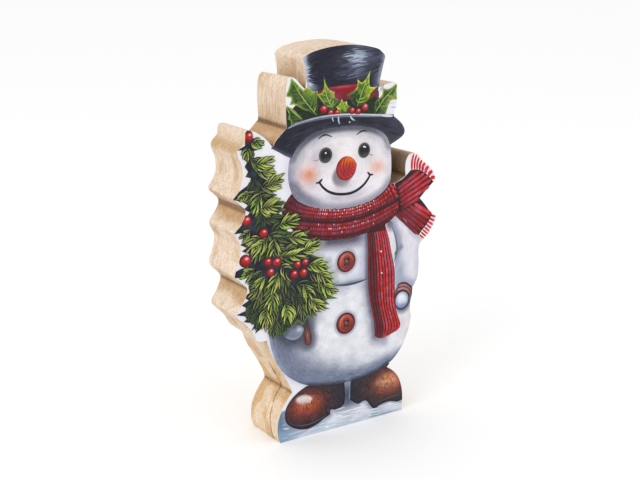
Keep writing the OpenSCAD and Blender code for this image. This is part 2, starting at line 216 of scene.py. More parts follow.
def smoothstep(low, high, value):
    """From 0 to 1 as the value goes from low to high, with soft ends."""
    t = np.clip((value - low) / (high - low), 0, 1)
    return t * t * (3 - 2 * t)


def side_of(way):
    """The direction to the left of another."""
    return np.array([-way[1], way[0]])


def turned(way, angle):
    """A direction turned anticlockwise by an angle in radians."""
    c, s = math.cos(angle), math.sin(angle)
    return np.array([way[0] * c - way[1] * s, way[0] * s + way[1] * c])


def line_sides(line):
    """Unit vectors to the left of a line, at its points."""
    run = np.gradient(line, axis=0)
    run /= np.maximum(np.linalg.norm(run, axis=1), SMALL)[:, None]
    return np.column_stack([-run[:, 1], run[:, 0]])


class Canvas:
    """The colours of points on the picture, laid on in order like washes of paint."""

    def __init__(self, points, base):
        self.points = points
        self.x, self.z = points.T
        self.rgb = np.tile(base, (len(points), 1))

    def blend(self, colour, amount):
        self.rgb += (colour - self.rgb) * np.clip(amount, 0, 1)[:, None]

    def radius(self, cx, cz, rx, rz, tilt=0):
        """How far out of an ellipse each point is, with 1 on the ellipse."""
        c, s = math.cos(math.radians(tilt)), math.sin(math.radians(tilt))
        dx, dz = self.x - cx, self.z - cz
        return np.hypot((dx * c + dz * s) / rx, (dz * c - dx * s) / rz)

    def spot(self, colour, cx, cz, rx, rz, strength=1, tilt=0):
        """A soft round touch of colour."""
        self.blend(colour, strength * np.exp(-self.radius(cx, cz, rx, rz, tilt) ** 2))

    def disc(self, colour, cx, cz, rx, rz, strength=1, tilt=0, soft=0.2):
        """An ellipse of colour with a soft edge."""
        r = self.radius(cx, cz, rx, rz, tilt)
        self.blend(colour, strength * (1 - smoothstep(1 - soft, 1 + soft, r)))

    def near(self, colour, node, reach, strength=1, full=0):
        """Colour near a node's outline: whole up to the distance full, and faded out at reach."""
        d = distance(self.points, outline(node))
        self.blend(colour, strength * (1 - smoothstep(full, reach, d)))

    def along(self, colour, line, reach, strength=1):
        """Colour that fades with the distance from a line."""
        d = distance(self.points, chain(smooth_line(line, 24))) / reach
        self.blend(colour, strength * (1 - smoothstep(0, 1, d)))

    def across(self, low, high):
        """From 0 to 1 as x goes from low to high."""
        return smoothstep(0, 1, (self.x - low) / (high - low))

    def up(self, low, high):
        """From 0 to 1 as z goes from low to high."""
        return smoothstep(0, 1, (self.z - low) / (high - low))

    def mottle(self, scale, amount, stretch=(1, 1), seed=0):
        """Uneven brushwork: lighter and darker patches of about scale millimetres."""
        sx, sz = scale * stretch[0], scale * stretch[1]
        n = np.array([noise.noise(Vector((x / sx, seed, z / sz))) for x, z in self.points])
        self.rgb = np.clip(self.rgb * (1 + amount * n[:, None]), 0, 1)


# ---------------------------------------------------------------- building pieces
SPACING = 1.05              # of the points on a painted area


def triangulate(points, rim_count, pairs, edges):
    """Triangles that fill the rim, as (points, triangles, where each rim point went)."""
    found = delaunay_2d_cdt([Vector(p) for p in points.tolist()], pairs, [], 0, MERGE_WITHIN)
    flat = np.array([tuple(v) for v in found[0]])
    went = {}
    for new, old in enumerate(found[3]):
        for i in old:
            went[i] = new
    tris = np.array([f for f in found[2]])
    keep = tris[inside(flat[tris].mean(1), edges)]
    a, b, c = flat[keep[:, 0]], flat[keep[:, 1]], flat[keep[:, 2]]
    turn = (b[:, 0] - a[:, 0]) * (c[:, 1] - a[:, 1]) - (b[:, 1] - a[:, 1]) * (c[:, 0] - a[:, 0])
    keep[turn < 0] = keep[turn < 0][:, ::-1]
    return flat, keep[np.abs(turn) > SMALL], [went[i] for i in range(rim_count)]


def split_rim(edges, step):
    """The rim's points at most step apart, and the index pairs of its short edges."""
    index, points, pairs = {}, [], []

    def place(p):
        key = (round(p[0], 4), round(p[1], 4))
        if key not in index:
            index[key] = len(points)
            points.append(key)
        return index[key]

    for x1, z1, x2, z2 in edges:
        count = max(1, math.ceil(math.hypot(x2 - x1, z2 - z1) / step))
        row = [place((x1 + (x2 - x1) * i / count, z1 + (z2 - z1) * i / count)) for i in range(count + 1)]
        pairs.extend(zip(row, row[1:]))
    return np.array(points), pairs


def grid_inside(edges, spacing, clear=0.5):
    """Points of a triangular grid inside the edges and clear of them by a share of the spacing."""
    low = np.minimum(edges[:, :2].min(0), edges[:, 2:].min(0))
    high = np.maximum(edges[:, :2].max(0), edges[:, 2:].max(0))
    rows = np.arange(low[1], high[1], spacing * math.sqrt(0.75))
    row_points = [np.column_stack([np.arange(low[0] + (k % 2) * spacing / 2, high[0], spacing),
        np.full(len(np.arange(low[0] + (k % 2) * spacing / 2, high[0], spacing)), z)]) for k,
        z in enumerate(rows)]
    points = np.vstack(row_points)
    points = points[inside(points, edges)]
    return points[distance(points, edges) > clear * spacing]


def finish_mesh(name, vertices, faces, colours, material, slot, angle=35):
    """An object from points in millimetres, with its colours, riding on the figure's one body."""
    mesh = bpy.data.meshes.new(name)
    mesh.from_pydata((np.asarray(vertices) * MM).tolist(), [], [tuple(f) for f in faces])
    mesh.validate()
    mesh.update()
    mesh.polygons.foreach_set("use_smooth", [True] * len(mesh.polygons))
    mesh.set_sharp_from_angle(angle=math.radians(angle))
    if colours is not None:
        paint = mesh.attributes.new("paint", "FLOAT_COLOR", "POINT")
        rgba = np.column_stack([to_linear(colours), np.ones(len(colours))])
        paint.data.foreach_set("color", rgba.astype(np.float32).ravel())
    mesh.materials.append(material)
    piece = bpy.data.objects.new(name, mesh)
    bpy.context.scene.collection.objects.link(piece)
    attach(piece, BODY)
    return piece


def area(node, paint, material, slot, swell=0, shoulder=1, spacing=SPACING):
    """A closed slab of paint in place of a CAD node, swollen over its shoulder's width if it is raised."""
    edges = outline(node)
    low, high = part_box(node)
    front, back = low.y / MM, high.y / MM
    rim, pairs = split_rim(edges, 1.2 * spacing)
    grid = grid_inside(edges, spacing)
    every = np.vstack([rim, grid]) if len(grid) else rim
    points, triangles, went = triangulate(every, len(rim), pairs, edges)
    rim_points, rim_triangles, rim_went = triangulate(rim, len(rim), pairs, edges)
    canvas = paint(points)
    depth = np.full(len(points), front)
    if swell:
        reach = np.clip(distance(points, edges) / shoulder, 0, 1)
        depth -= swell * np.sqrt(1 - (1 - reach) ** 2)
    vertices = np.vstack([np.column_stack([points[:, 0], depth, points[:, 1]]),
        np.column_stack([rim_points[:, 0], np.full(len(rim_points), back), rim_points[:, 1]])])
    shift = len(points)
    faces = triangles.tolist() + (rim_triangles[:, ::-1] + shift).tolist()
    faces += [(went[a], rim_went[a] + shift, rim_went[b] + shift, went[b]) for a, b in pairs]
    rim_colours = np.zeros((len(rim_points), 3))
    for front_index, back_index in zip(went, rim_went):
        rim_colours[back_index] = canvas.rgb[front_index]
    piece = finish_mesh(node + "_painted", vertices, faces, np.vstack([canvas.rgb, rim_colours]), material,
        slot)
    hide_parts(node)
    return piece


class Strokes:
    """Brush strokes: thin closed ribbons with a low ridge, each a hair above the one before."""

    POINTED, BLUNT = 0.7, 0.25      # how fast a stroke widens from its tips
    TIP_WIDTH, TIP_RIDGE = 0.02, 0.1
    THICKNESS = 0.03

    def __init__(self, name, node, material, slot, above=0.012, ridge=0.006, hair=0.0004):
        self.name, self.material, self.slot, self.ridge, self.hair = name, material, slot, ridge, hair
        self.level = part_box(node)[0].y / MM - above
        self.vertices, self.faces, self.colours = [], [], []

    def add(self, line, width, colour, end=None, count=7, blunt=False, ridge=None):
        """A stroke along a smooth line, with pointed or blunt tips. Its colour runs to the end colour."""
        line = smooth_line(line, count)
        t = np.linspace(0, 1, count)
        full = np.clip(np.sin(math.pi * t), 0, 1) ** (self.BLUNT if blunt else self.POINTED)
        half = 0.5 * width * np.maximum(full, self.TIP_WIDTH)
        high = self.level - (self.ridge if ridge is None else ridge) * np.maximum(full, self.TIP_RIDGE)
        end = colour if end is None else end
        start = len(self.vertices)
        for p, s, h, y, f in zip(line, line_sides(line), half, high, t):
            left, right = p + s * h, p - s * h
            self.vertices += [(left[0], self.level, left[1]), (p[0], y, p[1]),
                (right[0], self.level, right[1]), (p[0], self.level + self.THICKNESS, p[1])]
            self.colours += [colour + (end - colour) * f] * 4
        last = start + 4 * (count - 1)
        for a in range(start, last, 4):
            for i in range(4):
                j = (i + 1) % 4
                self.faces.append((a + i, a + j, a + 4 + j, a + 4 + i))
        self.faces.append((start + 3, start + 2, start + 1, start))
        self.faces.append((last, last + 1, last + 2, last + 3))
        self.level -= self.hair

    def build(self):
        return finish_mesh(self.name, self.vertices, self.faces, np.array(self.colours), self.material,
            self.slot, 60)


# ---------------------------------------------------------------- materials
def shader_nodes(name, **values):
    """A new material, its node tree and its shader with the given inputs."""
    material = bpy.data.materials.new(name)
    material.use_nodes = True
    tree = material.node_tree
    shader = tree.nodes["Principled BSDF"]
    set_inputs(shader, **values)
    return material, tree, shader


def set_inputs(node, **values):
    """Sets a node's inputs and settings by name, with _ for a space in an input's name."""
    for key, value in values.items():
        if hasattr(node, key):
            setattr(node, key, value)
        else:
            node.inputs[key.replace("_", " ")].default_value = value


def add_node(tree, kind, **values):
    """A new node with the given inputs and settings."""
    made = tree.nodes.new(kind)
    set_inputs(made, **values)
    return made


def link(tree, node, **outputs):
    """Links outputs to a node's inputs by name, with _ for a space."""
    for key, output in outputs.items():
        tree.links.new(output, node.inputs[key.replace("_", " ")])


def noise_at(tree, scale, stretch=(1, 1, 1), detail=3, rough=0.55, distort=0):
    """Noise over the object's own coordinates. Scale is patches a metre."""
    coords = add_node(tree, "ShaderNodeTexCoord")
    mapping = add_node(tree, "ShaderNodeMapping", Scale=stretch)
    link(tree, mapping, Vector=coords.outputs["Object"])
    made = add_node(tree, "ShaderNodeTexNoise", Scale=scale, Detail=detail, Roughness=rough,
        Distortion=distort)
    link(tree, made, Vector=mapping.outputs["Vector"])
    return made.outputs["Fac"]


def spread(tree, value, low, high, out_low, out_high):
    """The value's span from low to high, spread over another span."""
    made = add_node(tree, "ShaderNodeMapRange", From_Min=low, From_Max=high, To_Min=out_low,
        To_Max=out_high)
    link(tree, made, Value=value)
    return made.outputs["Result"]


def bump(tree, height, strength, depth, shader, onto=None):
    """Fine relief on a shader, over an earlier relief where there is one."""
    made = add_node(tree, "ShaderNodeBump", Strength=strength, Distance=depth)
    link(tree, made, Height=height)
    if onto is not None:
        link(tree, made, Normal=onto)
    link(tree, shader, Normal=made.outputs["Normal"])
    return made.outputs["Normal"]


def enamel(name, swing=0.1, grain=600, stretch=(1, 1, 1), rough=(0.26, 0.42), hue=0.012, relief=0.25):
    """Glossy paint: the piece's own colour, broken by brush marks, with an uneven sheen and fine relief."""
    material, tree, shader = shader_nodes(name, Coat_Weight=0.1, Coat_Roughness=0.12,
        Specular_IOR_Level=0.2)
    paint = add_node(tree, "ShaderNodeAttribute", attribute_name="paint")
    brush = noise_at(tree, grain, stretch, 4, 0.6)
    wash = noise_at(tree, grain * 0.16, stretch, 2, 0.5)
    tone = add_node(tree, "ShaderNodeHueSaturation")
    link(tree, tone, Color=paint.outputs["Color"], Value=spread(tree, brush, 0.25, 0.75, 1 - swing,
        1 + swing), Hue=spread(tree, wash, 0.3, 0.7, 0.5 - hue, 0.5 + hue),
        Saturation=spread(tree, wash, 0.3, 0.7, 0.92, 1.08))
    link(tree, shader, Base_Color=tone.outputs["Color"], Roughness=spread(tree, wash, 0.3, 0.7, *rough))
    bump(tree, brush, relief, 0.00006, shader)
    return material


def darken(tree, colour, mask, low, high, amount, tint):
    """The colour multiplied by a tint where the mask is high."""
    made = add_node(tree, "ShaderNodeMixRGB", blend_type="MULTIPLY", Color2=(*tint, 1))
    link(tree, made, Fac=spread(tree, mask, low, high, 0, amount), Color1=colour)
    return made.outputs["Color"]


def wood():
    """Pale mango wood: the colour in the piece's paint attribute, painted light and shade included, under
    upright grain and short dark pores, with darker flecks as painted shade under the tips, painted shade in
    brown along the creases, and a dark crack.
    """
    material, tree, shader = shader_nodes("mango_wood", Specular_IOR_Level=0.25)
    paint = add_node(tree, "ShaderNodeAttribute", attribute_name="paint")
    marks = add_node(tree, "ShaderNodeAttribute", attribute_name="marks")
    parts = add_node(tree, "ShaderNodeSeparateColor")
    link(tree, parts, Color=marks.outputs["Color"])
    # marks holds the painted shade under the tips, the nearness to a crease for its painted shade, and the
    # nearness to the crack.
    under, crease, crack = (parts.outputs[name] for name in ("Red", "Green", "Blue"))
    fibre = noise_at(tree, 1300, (1, 1, 0.045), 5, 0.65, 0.2)
    figure = noise_at(tree, 330, (1, 1, 0.09), 4, 0.6, 0.5)
    pores = noise_at(tree, 2300, (1, 1, 0.16), 2, 0.5)
    flecks = noise_at(tree, 1500, (1, 1, 0.5), 3, 0.6)
    colour = darken(tree, paint.outputs["Color"], figure, 0.46, 0.66, 0.55, (0.82, 0.68, 0.53))
    colour = darken(tree, colour, fibre, 0.47, 0.64, 0.8, (0.72, 0.58, 0.44))
    colour = darken(tree, colour, pores, 0.58, 0.7, 0.7, (0.46, 0.32, 0.21))
    # Painted shade: darker flecks where the side faces down.
    underside_fleck_shade = add_node(tree, "ShaderNodeMath", operation="MULTIPLY")
    tree.links.new(under, underside_fleck_shade.inputs[0])
    tree.links.new(spread(tree, flecks, 0.5, 0.64, 0, 1), underside_fleck_shade.inputs[1])
    colour = darken(tree, colour, flecks, 0.56, 0.7, 0.4, (0.56, 0.42, 0.3))
    colour = darken(tree, colour, underside_fleck_shade.outputs["Value"], 0, 1, 0.6, (0.52, 0.37, 0.23))
    # Painted shade: brown along the creases of the notches, made ragged by the grain's figure.
    ragged_crease_shade = add_node(tree, "ShaderNodeMath", operation="MULTIPLY_ADD")
    tree.links.new(figure, ragged_crease_shade.inputs[0])
    ragged_crease_shade.inputs[1].default_value = 0.16
    tree.links.new(crease, ragged_crease_shade.inputs[2])
    colour = darken(tree, colour, ragged_crease_shade.outputs["Value"], 0.27, 0.08, 0.45, (0.46, 0.31, 0.2))
    colour = darken(tree, colour, crack, 0.2, 0.06, 0.95, (0.16, 0.1, 0.07))
    link(tree, shader, Base_Color=colour, Roughness=spread(tree, fibre, 0.3, 0.7, 0.5, 0.75))
    bump(tree, flecks, 0.3, 0.0002, shader, bump(tree, fibre, 0.4, 0.00025, shader))
    return material


SNOW_PAINT = enamel("snow_paint", 0.035, 500, hue=0.01, rough=(0.24, 0.36), relief=0.15)
FILM_PAINT = enamel("film_paint", 0.02, 300, hue=0.006, rough=(0.22, 0.32), relief=0.1)
HAT_PAINT = enamel("hat_paint", 0.22, 700, (0.35, 1, 1), hue=0.02, rough=(0.22, 0.36))
SCARF_PAINT = enamel("scarf_paint", 0.16, 1100, hue=0.012)
GREEN_PAINT = enamel("green_paint", 0.2, 700, hue=0.03)
BERRY_PAINT = enamel("berry_paint", 0.08, 900, rough=(0.15, 0.28), relief=0.1)
BROWN_PAINT = enamel("brown_paint", 0.16, 900, hue=0.015)
DARK_PAINT = enamel("dark_paint", 0.12, 900)
ICE_PAINT = enamel("ice_paint", 0.06, 420, (0.35, 1, 1), hue=0.015)
FACE_PAINT = enamel("face_paint", 0.08, 900, rough=(0.18, 0.3))
WOOD = wood()

# ---------------------------------------------------------------- snow, body and head
INK = rgb(46, 46, 56)


def paint_film(points):
    c = Canvas(points, rgb(226, 225, 232))
    c.near(rgb(208, 210, 214), "tree", 4, 0.6)
    c.near(rgb(202, 200, 214), "head", 7, 0.6)
    c.near(rgb(184, 188, 202), "body_lower", 4, 0.5)
    c.spot(rgb(108, 118, 142), 8.5, 32, 7, 14, 0.9)
    return c


def paint_head(points):
    c = Canvas(points, rgb(230, 224, 230))
    left = c.across(-12, -44)
    right = c.across(24, 46)
    low = c.up(196, 182)
    c.near(rgb(176, 169, 180), "head", 24, 0.9 * left)
    c.near(rgb(138, 142, 166), "head", 8, 0.95 * left)
    c.near(rgb(206, 205, 214), "head", 9, 0.8 * right)
    c.near(rgb(168, 163, 178), "head", 10, 0.8 * low)
    c.near(rgb(104, 106, 122), "scarf_wrap", 12, 0.9 * c.across(-4, -36), 4)
    c.near(rgb(140, 137, 152), "scarf_wrap", 7, 0.75)
    middle = 1 - 0.6 * smoothstep(24, 46, np.abs(c.x))
    c.near(rgb(172, 171, 179), "hat_brim", 12, 0.85 * middle, 4)
    c.near(rgb(84, 84, 96), "hat_brim", 5.6, 1 * middle, 2.2)
    c.spot(rgb(216, 140, 116), -27.5, 207, 7.5, 6.5, 0.8)
    c.spot(rgb(210, 112, 90), -27, 207.5, 2.6, 2.2, 0.25)
    c.spot(rgb(212, 160, 138), 34, 206, 7, 5, 0.8)
    c.spot(rgb(236, 230, 226), 8, 222, 16, 12, 0.5)
    c.disc(rgb(114, 108, 118), 2, 203, 9.2, 7.8, 0.85, 24, 0.22)
    c.spot(rgb(164, 158, 168), 4, 195.5, 8, 3, 0.6, 6)
    c.spot(rgb(162, 160, 160), -13, 220, 9, 8.5, 0.6)
    c.spot(rgb(162, 160, 156), 22, 219.5, 8, 8, 0.55)
    c.spot(rgb(214, 222, 226), 19, 210, 4, 4, 0.5)
    c.mottle(7, 0.04, (1.4, 1), 3)
    return c


def paint_body_upper(points):
    c = Canvas(points, rgb(218, 218, 228))
    c.near(rgb(176, 184, 196), "body_lower", 11, 0.9)
    c.near(rgb(118, 126, 142), "body_lower", 4, 0.9)
    c.near(rgb(130, 126, 142), "scarf_wrap", 12, 0.95, 3)
    c.near(rgb(84, 82, 96), "scarf_wrap", 5.5, 0.9, 1)
    c.near(rgb(160, 162, 184), "scarf_tail", 12, 0.9 * c.across(36, 26))
    c.near(rgb(90, 90, 106), "scarf_tail", 4.5, 0.9 * c.across(36, 26))
    c.near(rgb(150, 158, 156), "tree", 6, 0.7)
    c.near(rgb(142, 138, 150), "button_upper", 3.5, 0.7)
    c.near(rgb(236, 220, 216), "scarf_tail", 4, 0.7 * c.across(36, 42))
    c.spot(rgb(200, 210, 206), 50, 134, 4, 9, 0.7)
    c.near(rgb(126, 128, 146), "arm_right", 3, 0.85)
    c.mottle(6, 0.04, (1.3, 1), 5)
    return c


def paint_body_lower(points):
    c = Canvas(points, rgb(222, 222, 229))
    round_off = c.radius(14, 84, 70, 47)
    c.blend(rgb(196, 200, 210), smoothstep(0.42, 0.74, round_off) * c.across(50, 4))
    c.blend(rgb(119, 125, 146), 0.97 * smoothstep(0.54, 0.92, round_off) * c.across(30, -14))
    c.blend(rgb(116, 126, 148), 0.95 * smoothstep(0.7, 0.9, round_off) * c.up(60, 46))
    c.near(rgb(146, 160, 184), "body_lower", 4.5, 0.8 * c.across(-42, -54))
    c.near(rgb(96, 106, 130), "body_lower", 3.5, 0.8 * c.up(60, 46) * c.across(-50, -34))
    c.near(rgb(216, 208, 208), "body_lower", 8, 0.8 * c.across(50, 62) * c.up(56, 70))
    c.near(rgb(148, 148, 164), "scarf_tail", 11, 0.9 * c.across(50, 42))
    c.near(rgb(96, 96, 112), "scarf_tail", 4.5, 0.8 * c.across(40, 30))
    c.near(rgb(134, 140, 146), "tree", 12, 0.8 * c.across(-8, -26))
    c.near(rgb(78, 86, 82), "tree", 7, 0.85 * c.across(-20, -34))
    c.near(rgb(68, 72, 86), "hand_left", 12, 0.9)
    c.near(rgb(84, 86, 102), "tree_trunk", 8, 0.85)
    c.near(rgb(142, 138, 150), "button_lower", 3.5, 0.7)
    c.near(rgb(120, 124, 140), "cuff_right", 3.5, 0.7)
    c.near(rgb(132, 138, 146), "hand_right", 4, 0.7)
    c.near(rgb(58, 60, 74), "boot_left", 4, 0.8)
    c.near(rgb(58, 60, 74), "boot_right", 4, 0.8)
    c.mottle(5, 0.06, (1.6, 1), 8)
    return c


def paint_arm(points):
    c = Canvas(points, rgb(216, 214, 223))
    c.near(rgb(190, 190, 202), "arm_right", 6, 0.7)
    c.near(rgb(140, 146, 168), "body_upper", 6, 0.85)
    c.along(rgb(104, 104, 120), [(51.5, 133.5), (54, 136.8), (57.5, 138.8)], 4, 0.95)
    c.spot(rgb(150, 150, 166), 54.5, 142, 4, 6.5, 0.75)
    c.near(rgb(142, 152, 176), "cuff_right", 8, 0.8)
    c.near(rgb(176, 174, 190), "scarf_end_lower", 6, 0.8)
    c.spot(rgb(148, 156, 176), 57, 118, 5, 13, 0.85)
    c.mottle(5, 0.05, (1, 1.6), 12)
    return c


def paint_hand_right(points):
    c = Canvas(points, rgb(212, 219, 228))
    c.near(rgb(122, 130, 152), "hand_right", 3.5, 0.8)
    c.spot(rgb(126, 132, 168), 60, 89.5, 5.5, 3, 0.9)
    c.spot(rgb(232, 232, 240), 58, 98, 3.5, 3, 0.8)
    return c


def paint_hand_left(points):
    c = Canvas(points, rgb(116, 123, 142))
    c.near(rgb(146, 158, 178), "body_lower", 2.4, 0.7 * c.up(88, 82))
    c.spot(rgb(186, 192, 204), -36, 89, 3.4, 2.4, 0.9)
    c.near(rgb(78, 84, 96), "tree", 4.5, 0.8)
    return c


def paint_snow_base(points):
    c = Canvas(points, rgb(212, 215, 224))
    c.blend(rgb(140, 162, 184), c.across(-28, -50))
    c.spot(rgb(96, 116, 138), -52, 19, 6, 10, 0.95)
    c.near(rgb(140, 148, 166), "boot_left", 5, 0.8)
    c.near(rgb(140, 148, 166), "boot_right", 5, 0.8)
    c.spot(rgb(76, 84, 104), 8, 25, 7, 12, 0.97)
    c.spot(rgb(142, 164, 188), 37, 3, 10, 1.8, 0.9)
    c.spot(rgb(142, 172, 196), -22, 6, 14, 2.6, 0.8, -6)
    c.spot(rgb(176, 186, 198), 10, 1.6, 34, 2.4, 0.7)
    c.mottle(4, 0.07, (2, 1), 20)
    return c


# ---------------------------------------------------------------- boots
def paint_boot(points, cx, cz, light, core):
    c = Canvas(points, rgb(56, 55, 61))
    c.spot(rgb(112, 60, 54), cx, cz, 18, 12, 0.9)
    c.spot(core, cx, cz, 12.5, 8, 0.95)
    c.spot(light, cx, cz + 2.5, 8, 4.6, 0.8)
    return c


def paint_boot_left(points):
    c = paint_boot(points, -30, 25.5, rgb(208, 118, 92), rgb(172, 82, 64))
    c.spot(rgb(176, 78, 56), -26, 22.5, 5, 3, 0.7)
    c.disc(rgb(220, 212, 210), -32.5, 31, 7.2, 3.7, 0.95, -12, 0.3)
    c.near(rgb(44, 44, 50), "snow_base", 3, 0.6)
    c.mottle(3, 0.1, (2.2, 1), 30)
    return c


def paint_boot_right(points):
    c = paint_boot(points, 48, 28, rgb(230, 166, 128), rgb(188, 100, 76))
    c.spot(rgb(206, 132, 110), 53, 28, 4.5, 4.5, 0.6)
    c.spot(rgb(226, 176, 140), 39, 29, 4, 2.4, 0.6)
    c.near(rgb(44, 44, 50), "snow_base", 3, 0.6)
    c.mottle(3, 0.1, (2.2, 1), 31)
    return c


# ---------------------------------------------------------------- hat
def paint_crown(points):
    c = Canvas(points, rgb(50, 50, 60))
    c.along(rgb(112, 124, 148), [(-32, 294), (-28.5, 282), (-24, 270)], 7, 0.9)
    c.along(rgb(182, 188, 202), [(-31.5, 293), (-29, 283), (-26.6, 274)], 4.6, 0.95)
    c.along(rgb(92, 98, 116), [(38.5, 290), (35, 279), (33, 268)], 7, 0.8)
    c.along(rgb(150, 154, 168), [(39.5, 290), (36.5, 280), (34.5, 270)], 2.4, 0.8)
    c.spot(rgb(100, 110, 136), 17, 288, 15, 9, 0.9)
    c.spot(rgb(180, 192, 218), 15.5, 290.5, 5.5, 6.5, 0.95, -12)
    c.spot(rgb(110, 120, 142), 15, 278, 9, 3.4, 0.8, 10)
    c.mottle(3, 0.12, (3, 1), 40)
    return c


def paint_band(points):
    c = Canvas(points, rgb(132, 42, 58))
    c.spot(rgb(176, 96, 104), 3, 269.6, 11, 1.2, 0.8)
    c.spot(rgb(104, 34, 50), 4, 261, 5, 3, 0.8)
    c.blend(rgb(110, 58, 56), c.across(22, 26))
    return c


def paint_brim(points):
    c = Canvas(points, rgb(50, 50, 59))
    c.blend(rgb(64, 65, 76), c.across(18, 52))
    c.along(rgb(92, 98, 122), [(-58, 229), (-50, 224.5), (-43, 221.5)], 4, 0.9)
    c.near(rgb(96, 98, 112), "hat_brim", 2.6, 0.5 * c.across(40, 52))
    c.near(rgb(74, 76, 92), "head", 3, 0.5)
    c.mottle(3, 0.1, (3, 1), 41)
    return c


def paint_backing(points):
    c = Canvas(points, rgb(48, 56, 40))
    c.mottle(2, 0.3, (1, 1), 42)
    return c


LIME = rgb(208, 218, 100)
LEAF_GREEN = rgb(138, 158, 78)
PINE_GREEN = rgb(74, 94, 56)
PINE_DARK = rgb(40, 44, 50)
LEAF_RIBS = {"holly_leaf_1": [(-42.2, 279), (-33, 265), (-21, 251)],
    "holly_leaf_2": [(-46, 260), (-40, 254.5), (-33, 249)], "holly_leaf_3": [(-14.6, 279), (-12, 264),
    (-6, 254)], "holly_leaf_4": [(1.2, 260), (3.5, 255), (5.5, 250.5)],
    "holly_leaf_5": [(26.8, 280), (21, 268), (15, 254)], "holly_leaf_6": [(51, 266), (40, 257.5),
    (31, 247)],}
LEAF_TONES = {"holly_leaf_1": (rgb(66, 90, 52), rgb(132, 158, 66)),
    "holly_leaf_2": (rgb(54, 74, 46), rgb(104, 134, 64)), "holly_leaf_3": (rgb(86, 110, 58),
    rgb(160, 176, 78)), "holly_leaf_4": (rgb(104, 126, 54), rgb(176, 186, 78)),
    "holly_leaf_5": (rgb(76, 102, 54), rgb(182, 190, 70)), "holly_leaf_6": (rgb(62, 86, 48),
    rgb(140, 162, 88)),}


def paint_leaf(node):
    dark, light = LEAF_TONES[node]
    rib = smooth_line(LEAF_RIBS[node], 20)

    def paint(points):
        c = Canvas(points, dark)
        run = rib[-1] - rib[0]
        nearest = rib[np.argmin(((points[:, None] - rib[None]) ** 2).sum(2), axis=1)]
        side = (points - nearest) @ side_of(run) / np.linalg.norm(run)
        c.blend(light, 0.75 * smoothstep(0.3, 4.5, side))
        c.near(light, node, 2.4, 0.85)
        c.near(rgb(196, 202, 96), node, 1, 0.6)
        c.blend(PINE_DARK, 0.75 * smoothstep(0.45, 1, (points - rib[0]) @ run / (run @ run)))
        c.mottle(2.2, 0.3, (1, 1), 43)
        return c

    return paint


# ---------------------------------------------------------------- berries, buttons and face
# Middles and radii, the nearest to the eye last.
TREE_BERRIES = [(-78, 241.2, 3.9), (-81, 180, 4.2), (-67, 168.8, 3.95), (-82.4, 150.3, 4.9),
    (-63.6, 146.4, 3.5), (-56, 145, 4.1), (-61.4, 138.2, 3.7), (-31.2, 141, 3.1), (-38, 140.2, 3.3),
    (-41, 133.2, 3.6), (-32.8, 133, 3.8)]
HAT_BERRIES = [(-15, 254.6, 3.4), (-8.8, 251.4, 2.7), (-3.2, 251, 2.6), (10.2, 251.2, 2.8),
    (15.8, 250, 2.7), (21.8, 252.6, 3.3)]


def paint_berries(balls, base, dark, glint):
    """Round berries with a dark lower rim, a lit top and a small glint each."""
    middles = np.array([b[:2] for b in balls])
    radii = np.array([b[2] for b in balls])

    def paint(points):
        c = Canvas(points, base)
        gap = np.linalg.norm(points[:, None] - middles[None], axis=2) / radii
        own = gap.argmin(1)
        r = gap[np.arange(len(points)), own]
        offset = (points - middles[own]) / radii[own][:, None]
        c.blend(dark, 0.95 * smoothstep(0.5, 1, r))
        c.blend(dark, 0.75 * smoothstep(0, 0.9, -offset[:, 1] - 0.3 * offset[:, 0]))
        shine = np.linalg.norm((offset - np.array([0.18, 0.36])) * np.array([0.8, 1.2]), axis=1)
        c.blend(mix(base, glint, 0.5), 0.8 * (1 - smoothstep(0.15, 0.6, shine)))
        c.blend(glint, 0.95 * (1 - smoothstep(0.08, 0.28, shine)))
        return c

    return paint


BUTTONS = {"button_upper": (6, 135.3), "button_lower": (5.8, 85.6)}


def paint_button(cx, cz):
    def paint(points):
        c = Canvas(points, rgb(150, 66, 66))
        r = c.radius(cx, cz, 8.6, 8.4)
        c.blend(rgb(78, 46, 52), smoothstep(0.72, 0.92, r))
        c.blend(rgb(196, 108, 84), 0.85 * (1 - smoothstep(0, 0.12, np.abs(r - 0.66))) * c.up(cz - 2,
            cz + 5))
        c.blend(rgb(104, 46, 52), 0.6 * (1 - smoothstep(0, 0.1, np.abs(r - 0.56))) * c.up(cz + 3, cz - 4))
        c.spot(rgb(186, 96, 76), cx - 3.5, cz + 1.5, 2.6, 2.6, 0.7)
        c.spot(rgb(74, 44, 42), cx + 0.4, cz, 2.8, 3.4, 0.85)
        return c

    return paint


def paint_eye(cx, cz):
    def paint(points):
        c = Canvas(points, rgb(46, 46, 49))
        r = c.radius(cx, cz, 6, 5.9)
        c.blend(rgb(92, 94, 90), 0.7 * (1 - smoothstep(0, 0.28, np.abs(r - 0.86))))
        c.spot(rgb(84, 88, 80), cx + 0.5, cz - 3.4, 3.4, 1.8, 0.7)
        c.near(rgb(120, 118, 122), "head", 1, 0.6)
        return c

    return paint


def paint_nose(points):
    c = Canvas(points, rgb(180, 62, 60))
    c.spot(rgb(222, 122, 66), 8.5, 214.5, 6, 3, 0.95)
    c.spot(rgb(204, 78, 52), 11.5, 210, 4, 4, 0.7)
    c.spot(rgb(150, 48, 60), 4, 206.5, 5.5, 3.6, 0.8)
    c.near(rgb(112, 44, 54), "nose", 2.4, 0.8 * c.across(7, -2))
    c.near(rgb(132, 46, 54), "nose", 2.2, 0.7 * c.up(207, 200))
    return c


def paint_cuff(points):
    c = Canvas(points, rgb(128, 132, 152))
    c.blend(rgb(112, 76, 76), c.up(95, 98.5))
    c.near(rgb(52, 52, 64), "hand_right", 2.2, 0.95, 0.6)
    c.near(rgb(66, 56, 62), "cuff_right", 0.9, 0.7 * c.up(95, 98.5))
    return c


def paint_ink(points):
    return Canvas(points, INK)


